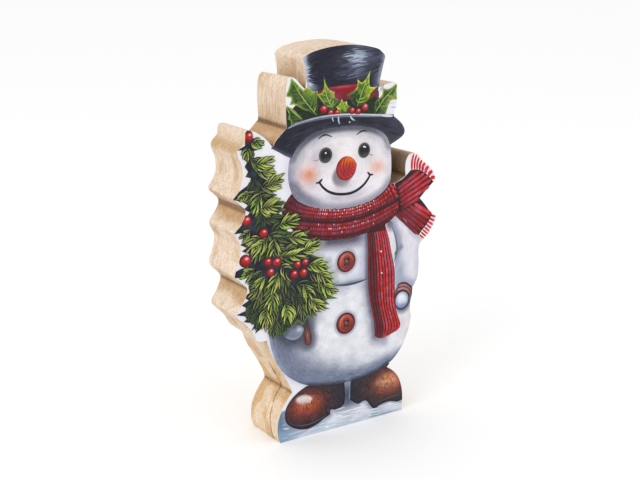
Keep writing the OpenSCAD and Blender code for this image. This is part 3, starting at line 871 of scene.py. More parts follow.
# ---------------------------------------------------------------- scarf
WRAP_TOP = np.polyfit([-50, -30, -10, 5, 22, 38, 52], [191, 184, 178.5, 177, 178.5, 182.5, 190], 4)
WRAP_GROOVE = np.polyfit([-50, -32, -15, 3, 20, 38, 52], [178, 174, 170, 168, 169, 172.5, 177], 4)
WRAP_LOW = np.polyfit([-50, -30, -10, 5, 22, 38, 52], [166, 160.5, 156, 154.5, 156, 159.5, 166], 4)
RED_BRIGHT = rgb(234, 90, 98)
RED_MID = rgb(188, 58, 68)
RED_DARK = rgb(64, 38, 46)
SPARKLE = rgb(250, 214, 206)


def paint_wrap(points):
    c = Canvas(points, rgb(104, 42, 50))
    top, groove, low = (np.polyval(line, c.x) for line in (WRAP_TOP, WRAP_GROOVE, WRAP_LOW))
    c.blend(rgb(54, 42, 48), 0.9 * (1 - smoothstep(0.6, 2.4, np.abs(c.z - groove))))
    c.blend(rgb(58, 42, 48), 0.8 * (1 - smoothstep(0, 4.5, c.z - low)))
    c.blend(RED_DARK, 0.6 * (1 - smoothstep(0, 1.6, top - c.z)))
    c.blend(rgb(62, 42, 48), 0.7 * c.across(-24, -44))
    c.near(rgb(48, 46, 46), "tree", 4, 0.8)
    return c


def paint_tail(points):
    c = Canvas(points, rgb(86, 38, 46))
    c.along(rgb(120, 44, 54), [(40, 156), (44, 130), (47, 100), (51, 75)], 9, 0.8)
    c.along(rgb(54, 44, 50), [(27, 154), (29.5, 135), (31, 112)], 5, 0.8)
    c.near(rgb(56, 40, 46), "scarf_wrap", 6, 0.8)
    c.blend(RED_DARK, 0.6 * c.up(76, 66) * c.across(50, 40))
    return c


def paint_end(points):
    c = Canvas(points, RED_DARK)
    c.near(rgb(52, 42, 46), "scarf_wrap", 10, 0.8)
    return c


def paint_fringe(points):
    return Canvas(points, rgb(244, 212, 212))


# ---------------------------------------------------------------- tree
def paint_tree(points):
    c = Canvas(points, rgb(50, 52, 60))
    c.mottle(4, 0.4, (1, 1), 50)
    c.spot(rgb(60, 58, 84), -56, 138, 14, 20, 0.5)
    berries = np.array([berry[:2] for berry in TREE_BERRIES])
    clear = smoothstep(6, 8, np.linalg.norm(points[:, None] - berries[None], axis=2).min(1))
    c.near(rgb(112, 132, 68), "tree", 2.4, 0.85 * clear * c.across(-66, -46))
    return c


def paint_trunk(points):
    c = Canvas(points, rgb(112, 74, 70))
    c.blend(rgb(70, 66, 72), c.up(84, 92))
    c.near(rgb(74, 52, 54), "tree_trunk", 1.6, 0.6)
    return c


def build_areas():
    """Every CAD node but the wood, as a painted slab."""
    area("ground_film", paint_film, FILM_PAINT, "ground_white", spacing=2)
    area("snow_base", paint_snow_base, ICE_PAINT, "enamel_white")
    for node, paint in (("head", paint_head), ("body_upper", paint_body_upper),
            ("body_lower", paint_body_lower), ("arm_right", paint_arm)):
        area(node, paint, SNOW_PAINT, "enamel_white")
    area("hand_right", paint_hand_right, SNOW_PAINT, "enamel_blue_grey", 0.15, 4, 0.8)
    area("hand_left", paint_hand_left, SNOW_PAINT, "enamel_blue_grey", 0.1, 4, 0.8)
    area("boot_left", paint_boot_left, BROWN_PAINT, "enamel_brown")
    area("boot_right", paint_boot_right, BROWN_PAINT, "enamel_brown")
    area("hat_crown", paint_crown, HAT_PAINT, "enamel_navy")
    area("hat_band", paint_band, SCARF_PAINT, "enamel_maroon", spacing=0.8)
    area("hat_brim", paint_brim, HAT_PAINT, "enamel_navy")
    area("holly_backing", paint_backing, GREEN_PAINT, "enamel_holly", spacing=0.8)
    for leaf in LEAF_RIBS:
        area(leaf, paint_leaf(leaf), GREEN_PAINT, "enamel_holly", spacing=0.6)
    area("scarf_wrap", paint_wrap, SCARF_PAINT, "enamel_scarf_red", spacing=0.9)
    area("scarf_tail", paint_tail, SCARF_PAINT, "enamel_scarf_red", spacing=0.9)
    for part, paint, slot in (("end", paint_end, "enamel_scarf_red"),
            ("fringe", paint_fringe, "enamel_fringe")):
        for place in ("upper", "lower"):
            area(f"scarf_{part}_{place}", paint, SCARF_PAINT, slot)
    area("cuff_right", paint_cuff, BROWN_PAINT, "enamel_brown", spacing=0.8)
    area("tree", paint_tree, GREEN_PAINT, "enamel_spruce", spacing=1.4)
    area("tree_trunk", paint_trunk, BROWN_PAINT, "enamel_brown", spacing=0.8)
    for node, middle in BUTTONS.items():
        area(node, paint_button(*middle), BROWN_PAINT, "enamel_button", 0.2, 2, 0.5)
    area("eye_left", paint_eye(-13, 220.2), FACE_PAINT, "enamel_black", 0.2, 5, 0.5)
    area("eye_right", paint_eye(21.6, 220), FACE_PAINT, "enamel_black", 0.2, 5, 0.5)
    area("nose", paint_nose, FACE_PAINT, "enamel_orange", 0.35, 8, 0.6)
    for node in ("smile", "eyebrows"):
        area(node, paint_ink, DARK_PAINT, "enamel_black", spacing=0.5)
    reds = rgb(176, 30, 42), rgb(86, 22, 36), rgb(236, 190, 196)
    area("tree_berries", paint_berries(TREE_BERRIES, *reds), BERRY_PAINT, "enamel_berry", 0.3, 3.5, 0.5)
    reds = rgb(178, 48, 54), rgb(92, 26, 36), rgb(236, 180, 180)
    area("hat_berries", paint_berries(HAT_BERRIES, *reds), BERRY_PAINT, "enamel_berry", 0.3, 3, 0.45)


build_areas()

# ---------------------------------------------------------------- brush strokes
def vary(colour, amount):
    """The colour, a little lighter or darker at random."""
    return np.clip(colour * (1 + between(-amount, amount)), 0, 1)


def span(node, z):
    """The lowest and highest x of a node at a height."""
    x1, z1, x2, z2 = outline(node).T
    hit = (z1 > z) != (z2 > z)
    x = x1[hit] + (z - z1[hit]) * (x2[hit] - x1[hit]) / (z2[hit] - z1[hit])
    return x.min(), x.max()


def is_in(node, *points):
    """True where all the points are on a node."""
    return bool(inside(np.array(points, float), outline(node)).all())


def fits(node, line, width=1.2):
    """True where a stroke along the line stays on its node."""
    line = smooth_line(line, 9)
    side = line_sides(line) * width / 2
    return is_in(node, *line, *(line + side), *(line - side))


def arc(cx, cz, rx, rz, start, end, count=6):
    """Points along part of an ellipse, with its angles in degrees from the right, anticlockwise."""
    turns = np.radians(np.linspace(start, end, count))
    return [(cx + rx * math.cos(a), cz + rz * math.sin(a)) for a in turns]


TUFT_GAP = 9.6              # between the tufts of needles over the tree
TUFT_NEEDLES = 9
TREE_TIP = 222              # the tufts above this height are small
SMALL_TUFT = 0.62
# The twigs lean out from this line, which runs down the tree.
TREE_AXIS = np.array([(-78.5, 240), (-78, 220), (-73, 205), (-68, 187), (-63, 168), (-57, 150), (-52, 135)])
TREE_FAN = (-54, 148)   # the lowest needles spread from here
# Tufts that catch the light: place, radius and share of light needles.
TUFTS = [(-66, 221, 7, 0.9), (-64, 214, 5, 0.7), (-57, 205, 8, 0.8), (-61, 188, 7, 0.9), (-86, 197, 5, 0.7),
    (-72, 192, 6, 0.7), (-46, 174, 10, 0.9), (-76, 162, 6, 0.7), (-70, 160, 5, 0.7), (-38, 161, 10, 0.9),
    (-42, 148, 6, 1), (-26, 152, 8, 0.8), (-58, 155, 5, 0.8), (-20, 137, 9, 0.8), (-15, 127, 9, 0.8),
    (-10, 116, 8, 0.8), (-29, 118, 7, 0.8), (-22, 107, 7, 0.7), (-60, 116, 7, 0.7), (-47, 104, 6, 0.9),
    (-66, 103, 6, 0.8), (-74, 127, 5, 0.5), (-68, 134, 4, 0.7), (-58, 130, 4, 0.7), (-48, 137, 4, 0.7),
    (-82, 140, 5, 0.5), (-84, 168, 5, 0.5), (-80, 229, 4, 0.5), (-71, 236, 4, 0.6)]


def needle_heading(x, z):
    """Which way a twig here points: out and level on the right, drooping on the left, a fan at the foot."""
    axis = np.interp(-z, -TREE_AXIS[:, 1], TREE_AXIS[:, 0])
    out = x - axis
    high = np.array([out, 0.12 * out - 3 if out > 0 else 0.55 * out - 3.5])
    low = np.array([x - TREE_FAN[0], z - TREE_FAN[1]])
    share = float(smoothstep(152, 126, z))
    heading = high / np.linalg.norm(high) * (1 - share) + low / np.linalg.norm(low) * share
    return heading / np.linalg.norm(heading)


def touches_berry(p):
    """True where a point is on one of the tree's berries, but for its outermost rim."""
    return any(np.hypot(p[0] - x, p[1] - z) < 0.95 * radius for x, z, radius in TREE_BERRIES)


def place_needles(x, z, heading, size):
    """A twig's needles as lines and widths, by turns to either side, clear of the berries and the edge."""
    root = np.array([x, z]) - heading * 7 * size
    drawn = []
    for k in range(TUFT_NEEDLES):
        along = k / (TUFT_NEEDLES - 1)
        side = 0 if k == TUFT_NEEDLES - 1 else (1 if k % 2 else -1)
        way = turned(heading, side * (0.58 - 0.22 * along) + between(-0.16, 0.16))
        length = size * between(7, 11.5) * (1 - 0.2 * along)
        start = root + heading * 8.5 * along * size
        tip = start + way * length
        if not is_in("ground_film", tip) or distance(tip[None], outline("ground_film"))[0] < 1:
            tip = start + way * length * 0.5
        middle = (start + tip) / 2 + side_of(way) * side * between(0.2, 1.5)
        blocked = any(touches_berry(p) for p in (start, middle, tip))
        if not blocked and is_in("ground_film", start, middle, tip):
            drawn.append(([start, middle, tip], between(0.75, 1.45) * (0.7 + 0.3 * size)))
    return drawn


def draw_tuft(needles, x, z, light, size):
    """A twig of needles over their own dark outlines, the lit ones with a pale line along them."""
    heading = turned(needle_heading(x, z), between(-0.3, 0.3))
    drawn = place_needles(x, z, heading, size * (SMALL_TUFT if z > TREE_TIP else 1))
    for line, width in drawn:
        needles.add(line, width + 1.6, vary(PINE_DARK, 0.15), count=6, ridge=0)
    for line, width in drawn:
        lit = min(1, light * between(0.6, 1.2))
        root_shade = mix(PINE_DARK, LEAF_GREEN, 0.25 + 0.55 * lit)
        tip_shade = mix(PINE_GREEN, LIME, min(1, 1.15 * lit))
        needles.add(line, width, vary(root_shade, 0.12), vary(tip_shade, 0.1))
        if lit > 0.55:
            start, middle, tip = line
            glint = [mix(start, middle, 0.7), mix(middle, tip, 0.2), mix(middle, tip, 0.85)]
            needles.add(glint, 0.5, vary(rgb(224, 228, 136), 0.08), ridge=0.004)


def build_tree():
    """Tufts of spruce needles over the dark inside of the tree, clear of the berries."""
    needles = Strokes("tree_needles", "tree", GREEN_PAINT, "enamel_spruce", hair=0.00025)
    places = []
    for x, z in grid_inside(outline("tree"), TUFT_GAP, 0.2).tolist():
        x += between(-1.6, 1.6)
        z += between(-1.6, 1.6)
        light = max(share * math.exp(-((x - tx) ** 2 + (z - tz) ** 2) / (0.8 * r) ** 2) for tx, tz, r,
            share in TUFTS)
        places.append((max(light, between(-0.2, 0.42)), x, z, 1))
    for tx, tz, r, share in TUFTS:
        places.append((share + 0.1, tx, tz, 1.15))
    for light, x, z, size in sorted(places):
        draw_tuft(needles, x, z, max(light, 0), size)
    needles.build()


KNIT_STEP = 1.9             # between the columns of stitches round the scarf
KNIT_RIDGE = 0.09           # height of a stitch that touches no other
KNIT_HAIR = 0.00005         # from one stitch to the next, so that none is far above the last
RIB_STEP = 0.9              # between points along a rib
RIB_RED = rgb(196, 62, 72)
RIB_SHADE = rgb(72, 40, 46)


def scarf_light(x):
    """How much light falls on the wrapped scarf, from its dark left to its middle and its lit right end."""
    places = (-50, -38, -26, -12, 14, 32, 40, 50)
    return float(np.interp(x, places, (0.1, 0.22, 0.62, 0.9, 1, 0.72, 0.8, 0.95)))


def top_of(node, x):
    """How high a node reaches at x."""
    low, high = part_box(node)
    heights = np.arange(low.z / MM, high.z / MM, 0.4)
    kept = inside(np.column_stack([np.full(len(heights), x), heights]), outline(node))
    return float(heights[kept].max()) if kept.any() else low.z / MM


def knit_column(knit, x, upper, lower, rows, tones, gain):
    """One column of stitches down a band of the wrapped scarf, with glints on some in its middle."""
    top, low = np.polyval(upper, x), np.polyval(lower, x)
    if upper is WRAP_TOP:
        top = max(top, top_of("scarf_wrap", x) - 0.6)
    slope = (np.polyval(upper, x + 1) - np.polyval(upper, x - 1)) / 2
    column = between(0.75, 1)
    for row, next_row, tone in zip(rows, rows[1:], tones):
        heights = [top + (low - top) * row, top + (low - top) * (next_row - 0.035)]
        start, end = [(x - slope * (z - top), z) for z in heights]
        if not is_in("scarf_wrap", start, end):
            continue
        lit = min(1, gain * tone * column * scarf_light(x) * between(0.7, 1.15)) ** 0.6
        red, low_red = vary(mix(RED_DARK, RED_BRIGHT, lit), 0.08), vary(mix(RED_DARK, RED_MID, lit), 0.08)
        knit.add([start, end], 1.62, red, low_red, 5, True)
        if -20 < x < 32 and RANDOM.random() < 0.42 * gain * tone * tone:
            middle = mix(np.array(start), np.array(end), between(0.4, 0.7))
            width = between(0.8, 1.3)
            knit.add([start, middle], width, SPARKLE, vary(rgb(232, 150, 148), 0.1), 6, True,
                KNIT_RIDGE + 0.03)


def build_wrap():
    """Stitches over the scarf's two bands, with dark gaps between and a low thread under each band."""
    knit = Strokes("scarf_wrap_knit", "scarf_wrap", SCARF_PAINT, "enamel_scarf_red", ridge=KNIT_RIDGE,
        hair=KNIT_HAIR)
    bands = [(WRAP_TOP, WRAP_GROOVE, (0.02, 0.3, 0.56, 0.8), (1, 0.95, 0.6), 1),
        (WRAP_GROOVE, WRAP_LOW, (0.14, 0.36, 0.6, 0.84), (0.7, 0.85, 0.5), 0.8)]
    for band in bands:
        for x in np.arange(-49, 53.5, KNIT_STEP):
            knit_column(knit, x + between(-0.15, 0.15), *band)
    for share, upper, lower in ((0.93, WRAP_TOP, WRAP_GROOVE), (1.02, WRAP_GROOVE, WRAP_LOW)):
        for x in np.arange(-44, 50, 3.4):
            points = []
            for d in (0, 1.6, 3.2):
                z = np.polyval(upper, x + d) * (1 - share) + np.polyval(lower, x + d) * share
                points.append((x + d, z + between(-0.2, 0.2)))
            if is_in("scarf_wrap", *points):
                red = mix(RED_DARK, RED_MID, 0.6 * scarf_light(x))
                knit.add(points, 0.7, vary(red, 0.15), None, 6, False, 0.03)
    knit.build()


def knit_rib(knit, node, path, width, light):
    """One rib: overlapping stretches of yarn along the path inside a node, and slanted stitches on them."""
    path = smooth_line(path, int(np.linalg.norm(np.diff(path, axis=0), axis=1).sum() / RIB_STEP))
    path = path[inside(path, outline(node))]
    for k in range(0, len(path) - 4, 6):
        stretch = path[k:k + 9]
        shade = mix(RIB_SHADE, RIB_RED, light(stretch[0]) * between(0.85, 1))
        after = mix(RIB_SHADE, RIB_RED, light(stretch[-1]) * between(0.85, 1))
        knit.add(stretch, width, shade, after, 9, True)
    for here, ahead in zip(path[1:-1], path[2:]):
        run = (ahead - here) / max(float(np.linalg.norm(ahead - here)), SMALL)
        side = side_of(run)
        lit = light(here) * between(0.7, 1.15)
        if RANDOM.random() < 0.75:
            stitch = [here - side * 0.3 * width, here + side * 0.3 * width + run * 1]
            knit.add(stitch, 0.75, vary(mix(rgb(80, 42, 48), RED_BRIGHT, min(1, lit)), 0.1), None, 5, True,
                KNIT_RIDGE + 0.02)


def build_tail():
    """Lengthwise ribs of knitted stitches down the hanging end of the scarf."""
    knit = Strokes("scarf_tail_knit", "scarf_tail", SCARF_PAINT, "enamel_scarf_red", ridge=KNIT_RIDGE,
        hair=KNIT_HAIR)
    tones = [(0.05, 0.22), (0.16, 0.12), (0.27, 0.18), (0.38, 0.62), (0.49, 0.95), (0.6, 0.8), (0.71, 1),
        (0.82, 0.85), (0.93, 0.9)]
    heights = np.arange(155, 66, -4).tolist()
    edges = [span("scarf_tail", z) for z in heights]

    def line_at(share):
        return np.array([(left + (right - left) * share, z) for (left, right), z in zip(edges, heights)])

    for share, tone in tones:
        knit_rib(knit, "scarf_tail", line_at(share), 2.3, lambda place, tone=tone: 0.12 + 0.88 * tone)
    for share in (0.105, 0.215, 0.325, 0.435, 0.545, 0.655, 0.765, 0.875):
        path = smooth_line(line_at(share), 90)
        path = path[inside(path, outline("scarf_tail"))]
        for k in range(0, len(path) - 4, 8):
            dark = vary(rgb(64, 38, 44), 0.15)
            knit.add(path[k:k + 11], between(0.8, 1.15), dark, None, 9, True, KNIT_RIDGE + 0.03)
    for x, z in ((39.5, 120.5), (38.5, 138.2)):
        knit.add([(x - 0.9, z), (x + 0.9, z)], 1.8, SPARKLE, None, 5, True, KNIT_RIDGE + 0.05)
    knit.build()


def build_end(node, root, tip, shifts, tones, flare):
    """Long ribs from root to tip on a scarf end, each a row of stitches, with dark gaps between."""
    knit = Strokes(node + "_knit", node, SCARF_PAINT, "enamel_scarf_red", ridge=KNIT_RIDGE, hair=KNIT_HAIR)
    root, tip = np.array(root), np.array(tip)
    length = float(np.linalg.norm(tip - root))
    run = (tip - root) / length
    side = side_of(run)
    for shift, tone in zip(shifts, tones):
        path = [root + run * s + side * shift * (1 + flare * s / length)
            for s in (-7, 0, length, length + 10)]

        def light(place, tone=tone):
            return tone * float(smoothstep(-5, length * 0.32, (place - root) @ run))

        knit_rib(knit, node, np.array(path), 2.6 + flare, light)
    knit.build()


def last_inside(node, start, end):
    """Where the line from start through end leaves a node."""
    line = start + (end - start) * np.linspace(0.2, 1.8, 60)[:, None]
    kept = line[inside(line, outline(node))]
    return kept[-1] if len(kept) else end


def build_fringe(node, base_line, tip_line, bend, strands):
    """Red threads from the scarf's end to its outer edge, with pale gaps between them."""
    fringe = Strokes(node + "_threads", node, SCARF_PAINT, "enamel_fringe", ridge=0.1)
    base = smooth_line(base_line, strands)
    tips = smooth_line(tip_line, strands)
    gaps = np.linalg.norm(np.gradient(tips, axis=0), axis=1)
    for a, b, gap in zip(base, tips, gaps):
        width = 0.62 * float(gap)
        b = last_inside(node, a, b)
        middle = (a + b) / 2 + np.array(bend)
        fringe.add([a, middle, b], width, vary(rgb(176, 44, 60), 0.1), vary(rgb(190, 58, 74), 0.1), 9, True)
        fringe.add([mix(a, b, 0.3), middle + np.array([0.3, 0.2]), mix(a, b, 0.8)], 0.4, rgb(220, 120, 126),
            None, 7, False, 0.12)
    fringe.build()


def build_crown():
    """Long brush marks round the hat's crown, bright where it shines."""
    marks = Strokes("hat_crown_brushwork", "hat_crown", HAT_PAINT, "enamel_navy")
    shine = [(16, 290, 12, 7.5, 1), (12, 279, 11, 4, 0.6), (-30, 288, 4, 9, 0.9), (36, 282, 3.5, 10, 0.5)]
    for _ in range(420):
        x, z = between(-31, 38), between(271, 299)
        reach = between(2.5, 7.5)
        curve = 0.01 * (z - 284) / 14
        line = [(x + d, z + 0.12 * d - curve * ((x + d - 4) ** 2 - (x - 4) ** 2))
            for d in (-reach, 0, reach)]
        if not fits("hat_crown", line):
            continue
        lit = max(g * math.exp(-((x - cx) / rx) ** 2 - ((z - cz) / rz) ** 2) for cx, cz, rx, rz, g in shine)
        lit = min(1, lit * between(0.3, 1.5))
        colour = mix(rgb(44, 44, 54), rgb(186, 198, 222), lit ** 1.1)
        marks.add(line, between(0.4, 1.2), vary(colour, 0.08), vary(mix(colour, rgb(60, 64, 80), 0.4),
            0.08))
    marks.build()


def build_brim():
    """The bright rim of the brim, its drips of snow, and dark marks along it."""
    marks = Strokes("hat_brim_brushwork", "hat_brim", HAT_PAINT, "enamel_navy")
    top = [(-46, 244.4), (-38, 247), (-24, 249.2), (-10, 250), (6, 249.4), (24, 247.4), (38, 245.8),
        (48.3, 244.6)]
    for _ in range(110):
        x = between(-48, 50)
        z = 238 + 7 * RANDOM.random() - 0.0035 * x * x
        reach = between(3, 8)
        line = [(x + d, z - 0.0035 * ((x + d) ** 2 - x * x)) for d in (-reach, 0, reach)]
        if fits("hat_brim", line):
            marks.add(line, between(0.4, 1), vary(rgb(54, 55, 65), 0.25))
    line = smooth_line(top, 40)
    marks.add([p + np.array([0, -1.5]) for p in line[2:-2]], 2.4, rgb(92, 96, 112), rgb(120, 122, 136), 40)
    marks.add([p + np.array([0, -0.8]) for p in line], 1.7, rgb(132, 142, 162), rgb(210, 208, 214), 40,
        True)
    marks.add([p + np.array([0, -0.7]) for p in line[6:36]], 1.1, rgb(196, 200, 212), rgb(222, 222, 228),
        34)
    marks.add([(36, 245.2), (42, 244.2), (48, 243.2)], 2, rgb(196, 196, 206), rgb(214, 214, 222), 8, True)
    for drip, width in (([(-7.4, 248.4), (-6.6, 246), (-5.8, 244.6)], 1),
            ([(-1.6, 248.6), (-1.6, 245), (-0.4, 242)], 1.3), ([(8.6, 247.6), (10.6, 245), (13.2, 243.4)],
            1.3), ([(7.6, 243.2), (9, 242.2)], 1.1)):
        marks.add(drip, width, rgb(206, 212, 224), rgb(150, 160, 178), 7, True)
    marks.build()


def build_leaves():
    """A pale rib down each holly leaf, side veins to its spines and soft streaks between them."""
    veins = Strokes("holly_veins", "holly_leaf_1", GREEN_PAINT, "enamel_holly")
    for leaf, rib in LEAF_RIBS.items():
        dark, light = LEAF_TONES[leaf]
        line = smooth_line(rib, 24)
        run = (line[-1] - line[0]) / np.linalg.norm(line[-1] - line[0])
        side = side_of(run)
        for _ in range(46):
            t = between(0.04, 0.96)
            start = line[int(t * 23)]
            way = RANDOM.choice((-1, 1))
            reach = between(1.5, 7)
            end = start + side * way * reach - run * reach * 0.75
            if is_in(leaf, mix(start, end, 0.1), end):
                shade = vary(mix(dark, light, between(0, 0.9)), 0.15)
                veins.add([start, mix(start, end, 0.5) + run * 0.3, end], between(0.5, 1.2), shade, None, 6)
        keep = [p for p in line if is_in(leaf, p)]
        if len(keep) > 3:
            veins.add(keep[::4] + [keep[-1]], 0.7, rgb(150, 166, 88), rgb(172, 190, 110), 14)
    veins.build()


def build_face():
    """Glints and lashes of the eyes, their shadows, the turns of the carrot nose and the smile's line."""
    marks = Strokes("face_marks", "nose", FACE_PAINT, "enamel_white", 0.25)
    marks.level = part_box("eye_left")[0].y / MM - 0.24
    white = rgb(232, 232, 234)
    marks.add([(-13.9, 221.8), (-13, 222), (-12.2, 222)], 1.5, white, rgb(190, 192, 194), 7, True, 0.05)
    marks.add([(20.2, 222.9), (21.6, 222.8), (23.2, 222)], 1.2, white, rgb(206, 208, 208), 9, True, 0.05)
    marks.add([(-17.2, 224.2), (-13.4, 225.6), (-9.4, 224)], 0.6, rgb(104, 104, 106), rgb(84, 84, 86), 9)
    marks.add([(18.6, 224.4), (22, 225.4), (25.4, 223)], 0.7, rgb(104, 104, 106), rgb(84, 84, 86), 9)
    marks.build()

    turns = Strokes("nose_turns", "nose", FACE_PAINT, "enamel_orange", 0.36)
    for radius in (3.2, 5.6, 8.2, 10.8, 13.4):
        line = [p for p in arc(13.6, 210.4, radius, radius * 0.9, 128, 262, 16) if is_in("nose", p)]
        if len(line) > 3:
            turns.add(line, 0.6, rgb(150, 44, 44), rgb(98, 34, 46), 14)
            turns.add([(x + 0.9, z + 0.3) for x, z in line[:7]], 0.55, rgb(232, 146, 88), rgb(190, 76, 60),
                10)
    turns.build()

    line = Strokes("smile_line", "head", DARK_PAINT, "enamel_black", 0.08)
    line.add([(-21, 200.2), (-18.4, 200), (-15.4, 196.4), (-10.4, 192.4), (-4, 189.8), (3, 188.6),
        (10, 188.6), (16.4, 190.4), (22, 193.8), (25.6, 197.6), (27.4, 200.2), (29.8, 200.2)], 2.1,
        rgb(52, 50, 58), rgb(46, 44, 50), 40, True)
    line.build()

    lashes = Strokes("face_shadows", "head", DARK_PAINT, "enamel_white", 0.08)
    lashes.add([(-18.6, 217.8), (-21.5, 217.2), (-24.5, 217.6)], 0.9, rgb(120, 116, 104),
        rgb(190, 184, 182))
    lashes.add([(26.4, 216.6), (28.4, 215.4), (30.8, 215.6)], 0.9, rgb(120, 116, 104), rgb(190, 184, 182))
    lashes.build()


EDGE_STEP = 0.09            # brush marks keep off paint that changes more than this along them


def hatch(name, node, paint, material, slot, count, centre, swing):
    """Short curved brush marks round a centre, lighter or darker than the paint, more so in shade."""
    marks = Strokes(name, node, material, slot, above=0.008, ridge=0.004, hair=0.0001)
    low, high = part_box(node)
    lines = []
    while len(lines) < count:
        x, z = between(low.x, high.x) / MM, between(low.z, high.z) / MM
        away = np.array([x - centre[0], z - centre[1]])
        reach = max(float(np.linalg.norm(away)), 1)
        turn = math.degrees(math.atan2(away[1], away[0]))
        sweep = math.degrees(between(2, 7.5) / reach)
        line = arc(centre[0], centre[1], reach, reach, turn - sweep / 2, turn + sweep / 2, 3)
        if fits(node, line):
            lines.append(line)
    start, colours, end = (paint(np.array([line[k] for line in lines])).rgb for k in range(3))
    even = np.abs(start - end).max(1) < EDGE_STEP
    for line, colour in [pair for pair, keep in zip(zip(lines, colours), even) if keep]:
        shade = 1.02 - colour.mean()
        marks.add(line, between(0.5, 1.5), vary(colour, swing * shade), vary(colour, swing * shade * 0.5),
            6)
    marks.build()


def build_hatching():
    """Visible brushwork in the shade of the snowballs."""
    for part, node, paint, count, centre, swing in (("head", "head", paint_head, 620, (2, 214), 0.28),
            ("body_upper", "body_upper", paint_body_upper, 300, (10, 120), 0.16),
            ("body_lower", "body_lower", paint_body_lower, 900, (14, 92), 0.34),
            ("arm", "arm_right", paint_arm, 120, (20, 120), 0.16)):
        hatch(part + "_brushwork", node, paint, SNOW_PAINT, "enamel_white", count, centre, swing)


def build_body_lines():
    """The folds between the snowballs and along the arm."""
    folds = Strokes("snow_folds", "body_upper", SNOW_PAINT, "enamel_white", above=0.1)
    folds.add([(-7, 119.2), (0, 117.4), (9, 116.6), (18, 117), (27, 118.4)], 1.8, rgb(88, 96, 106),
        rgb(70, 72, 86), 14)
    folds.add([(45.6, 160.6), (50, 153.5), (53, 145), (53.8, 136.5), (51.6, 127.5)], 1.5,
        rgb(130, 138, 158), rgb(86, 90, 106), 14)
    folds.add([(51.6, 132.6), (53.8, 136.4), (57.6, 138.8)], 1.8, rgb(80, 80, 94), rgb(140, 142, 158), 9)
    folds.build()


def build_cuff():
    """The knitted cuff: two lit rows over a dark edge that runs round the hand."""
    rows = Strokes("cuff_right_knit", "cuff_right", BROWN_PAINT, "enamel_brown")
    rows.add([(54.6, 107.2), (59, 108.2), (64, 107), (69, 102.6)], 3, rgb(96, 62, 62), rgb(84, 58, 62), 10,
        True)
    for line in ([(55.6, 107), (60, 107.4), (65, 105.6), (68.6, 102)],
            [(54.6, 103.6), (59.4, 104.4), (64.4, 102.6), (67.8, 98.4)]):
        rows.add(line, 1.6, rgb(196, 140, 130), rgb(140, 98, 98), 10, True)
        rows.add([(x + 0.2, z + 0.5) for x, z in line], 0.5, rgb(206, 150, 138), rgb(150, 100, 98), 10)
    rows.build()


def build_buttons():
    """A raised lip, four-hole thread and a lit edge on each button."""
    for node, (cx, cz) in BUTTONS.items():
        marks = Strokes(node + "_thread", node, BROWN_PAINT, "enamel_button", 0.21)
        marks.add(arc(cx, cz, 6.9, 6.8, 35, 150), 0.7, rgb(150, 84, 74), rgb(212, 128, 100), 14)
        marks.add(arc(cx, cz, 5.7, 5.6, 95, 215), 1.2, rgb(222, 134, 98), rgb(176, 80, 66), 14)
        marks.add(arc(cx, cz, 5.8, 5.6, 250, 375), 0.7, rgb(84, 44, 48), rgb(100, 50, 52), 14)
        for dx, dz in ((-1.7, 1.9), (1.9, 1.5), (-1.3, -2), (1.9, -2.1)):
            marks.add([(cx + dx - 0.9, cz + dz), (cx + dx + 0.9, cz + dz)], 1.8, rgb(40, 30, 32), None, 6,
                True)
        marks.add([(cx - 1.4, cz + 1.8), (cx + 0.6, cz + 0.2), (cx + 1.8, cz - 2)], 0.8, rgb(176, 150, 108),
            rgb(96, 74, 56), 8)
        marks.add([(cx + 2, cz + 1.8), (cx, cz - 0.4), (cx - 1.2, cz - 2)], 0.8, rgb(150, 124, 88),
            rgb(84, 62, 48), 8)
        marks.add([(cx - 0.2, cz + 2.4), (cx + 2.6, cz + 2.4)], 0.8, rgb(52, 40, 38), None, 6)
        marks.build()


def build_boots():
    """Leather shine in fine curved marks, a pale seam above each sole, and snow light on the left toe."""
    hatch("boot_left_brushwork", "boot_left", paint_boot_left, BROWN_PAINT, "enamel_brown", 520, (-33, 14),
        0.32)
    hatch("boot_right_brushwork", "boot_right", paint_boot_right, BROWN_PAINT, "enamel_brown", 460,
        (38, 14), 0.32)
    marks = Strokes("boot_shine", "boot_left", BROWN_PAINT, "enamel_brown", 0.08)
    shines = [(-28, 24, 12, 6.5, rgb(222, 124, 92)), (46, 27.5, 11, 6.5, rgb(244, 184, 146))]
    for cx, cz, rx, rz, light in shines:
        for _ in range(80):
            turn, out = between(0, 360), between(0.1, 1)
            x = cx + rx * out * math.cos(math.radians(turn))
            z = cz + rz * out * math.sin(math.radians(turn))
            reach = between(1, 2.6)
            line = [(x - 0.3 * reach, z + reach), (x, z), (x - 0.1 * reach, z - reach)]
            tone = 1 - 0.4 * out if RANDOM.random() < 0.7 else 0.58
            marks.add(line, between(0.3, 0.7), vary(light * tone, 0.1), vary(light * tone * 0.7, 0.1), 6)
    marks.add([(-48.5, 17), (-42, 12.2), (-32, 9.6), (-22, 10.2), (-12, 13.6)], 0.8, rgb(74, 66, 70),
        rgb(118, 108, 112), 16)
    marks.add([(30, 13.6), (38, 12.8), (50, 14.2), (60, 14.4)], 0.8, rgb(74, 66, 66), rgb(108, 98, 98), 12)
    for k in range(26):
        x = -38.5 + 12.5 * k / 25 + between(-0.4, 0.4)
        rise = 3.2 * math.sqrt(max(0, 1 - ((x + 32.4) / 6.8) ** 2))
        z = 31 - 0.16 * (x + 32.4)
        marks.add([(x - 0.3, z + rise), (x, z), (x + 0.5, z - rise - between(0, 1.2))], 0.8,
            vary(rgb(232, 226, 226), 0.04), vary(rgb(204, 180, 172), 0.05), 6)
    marks.build()


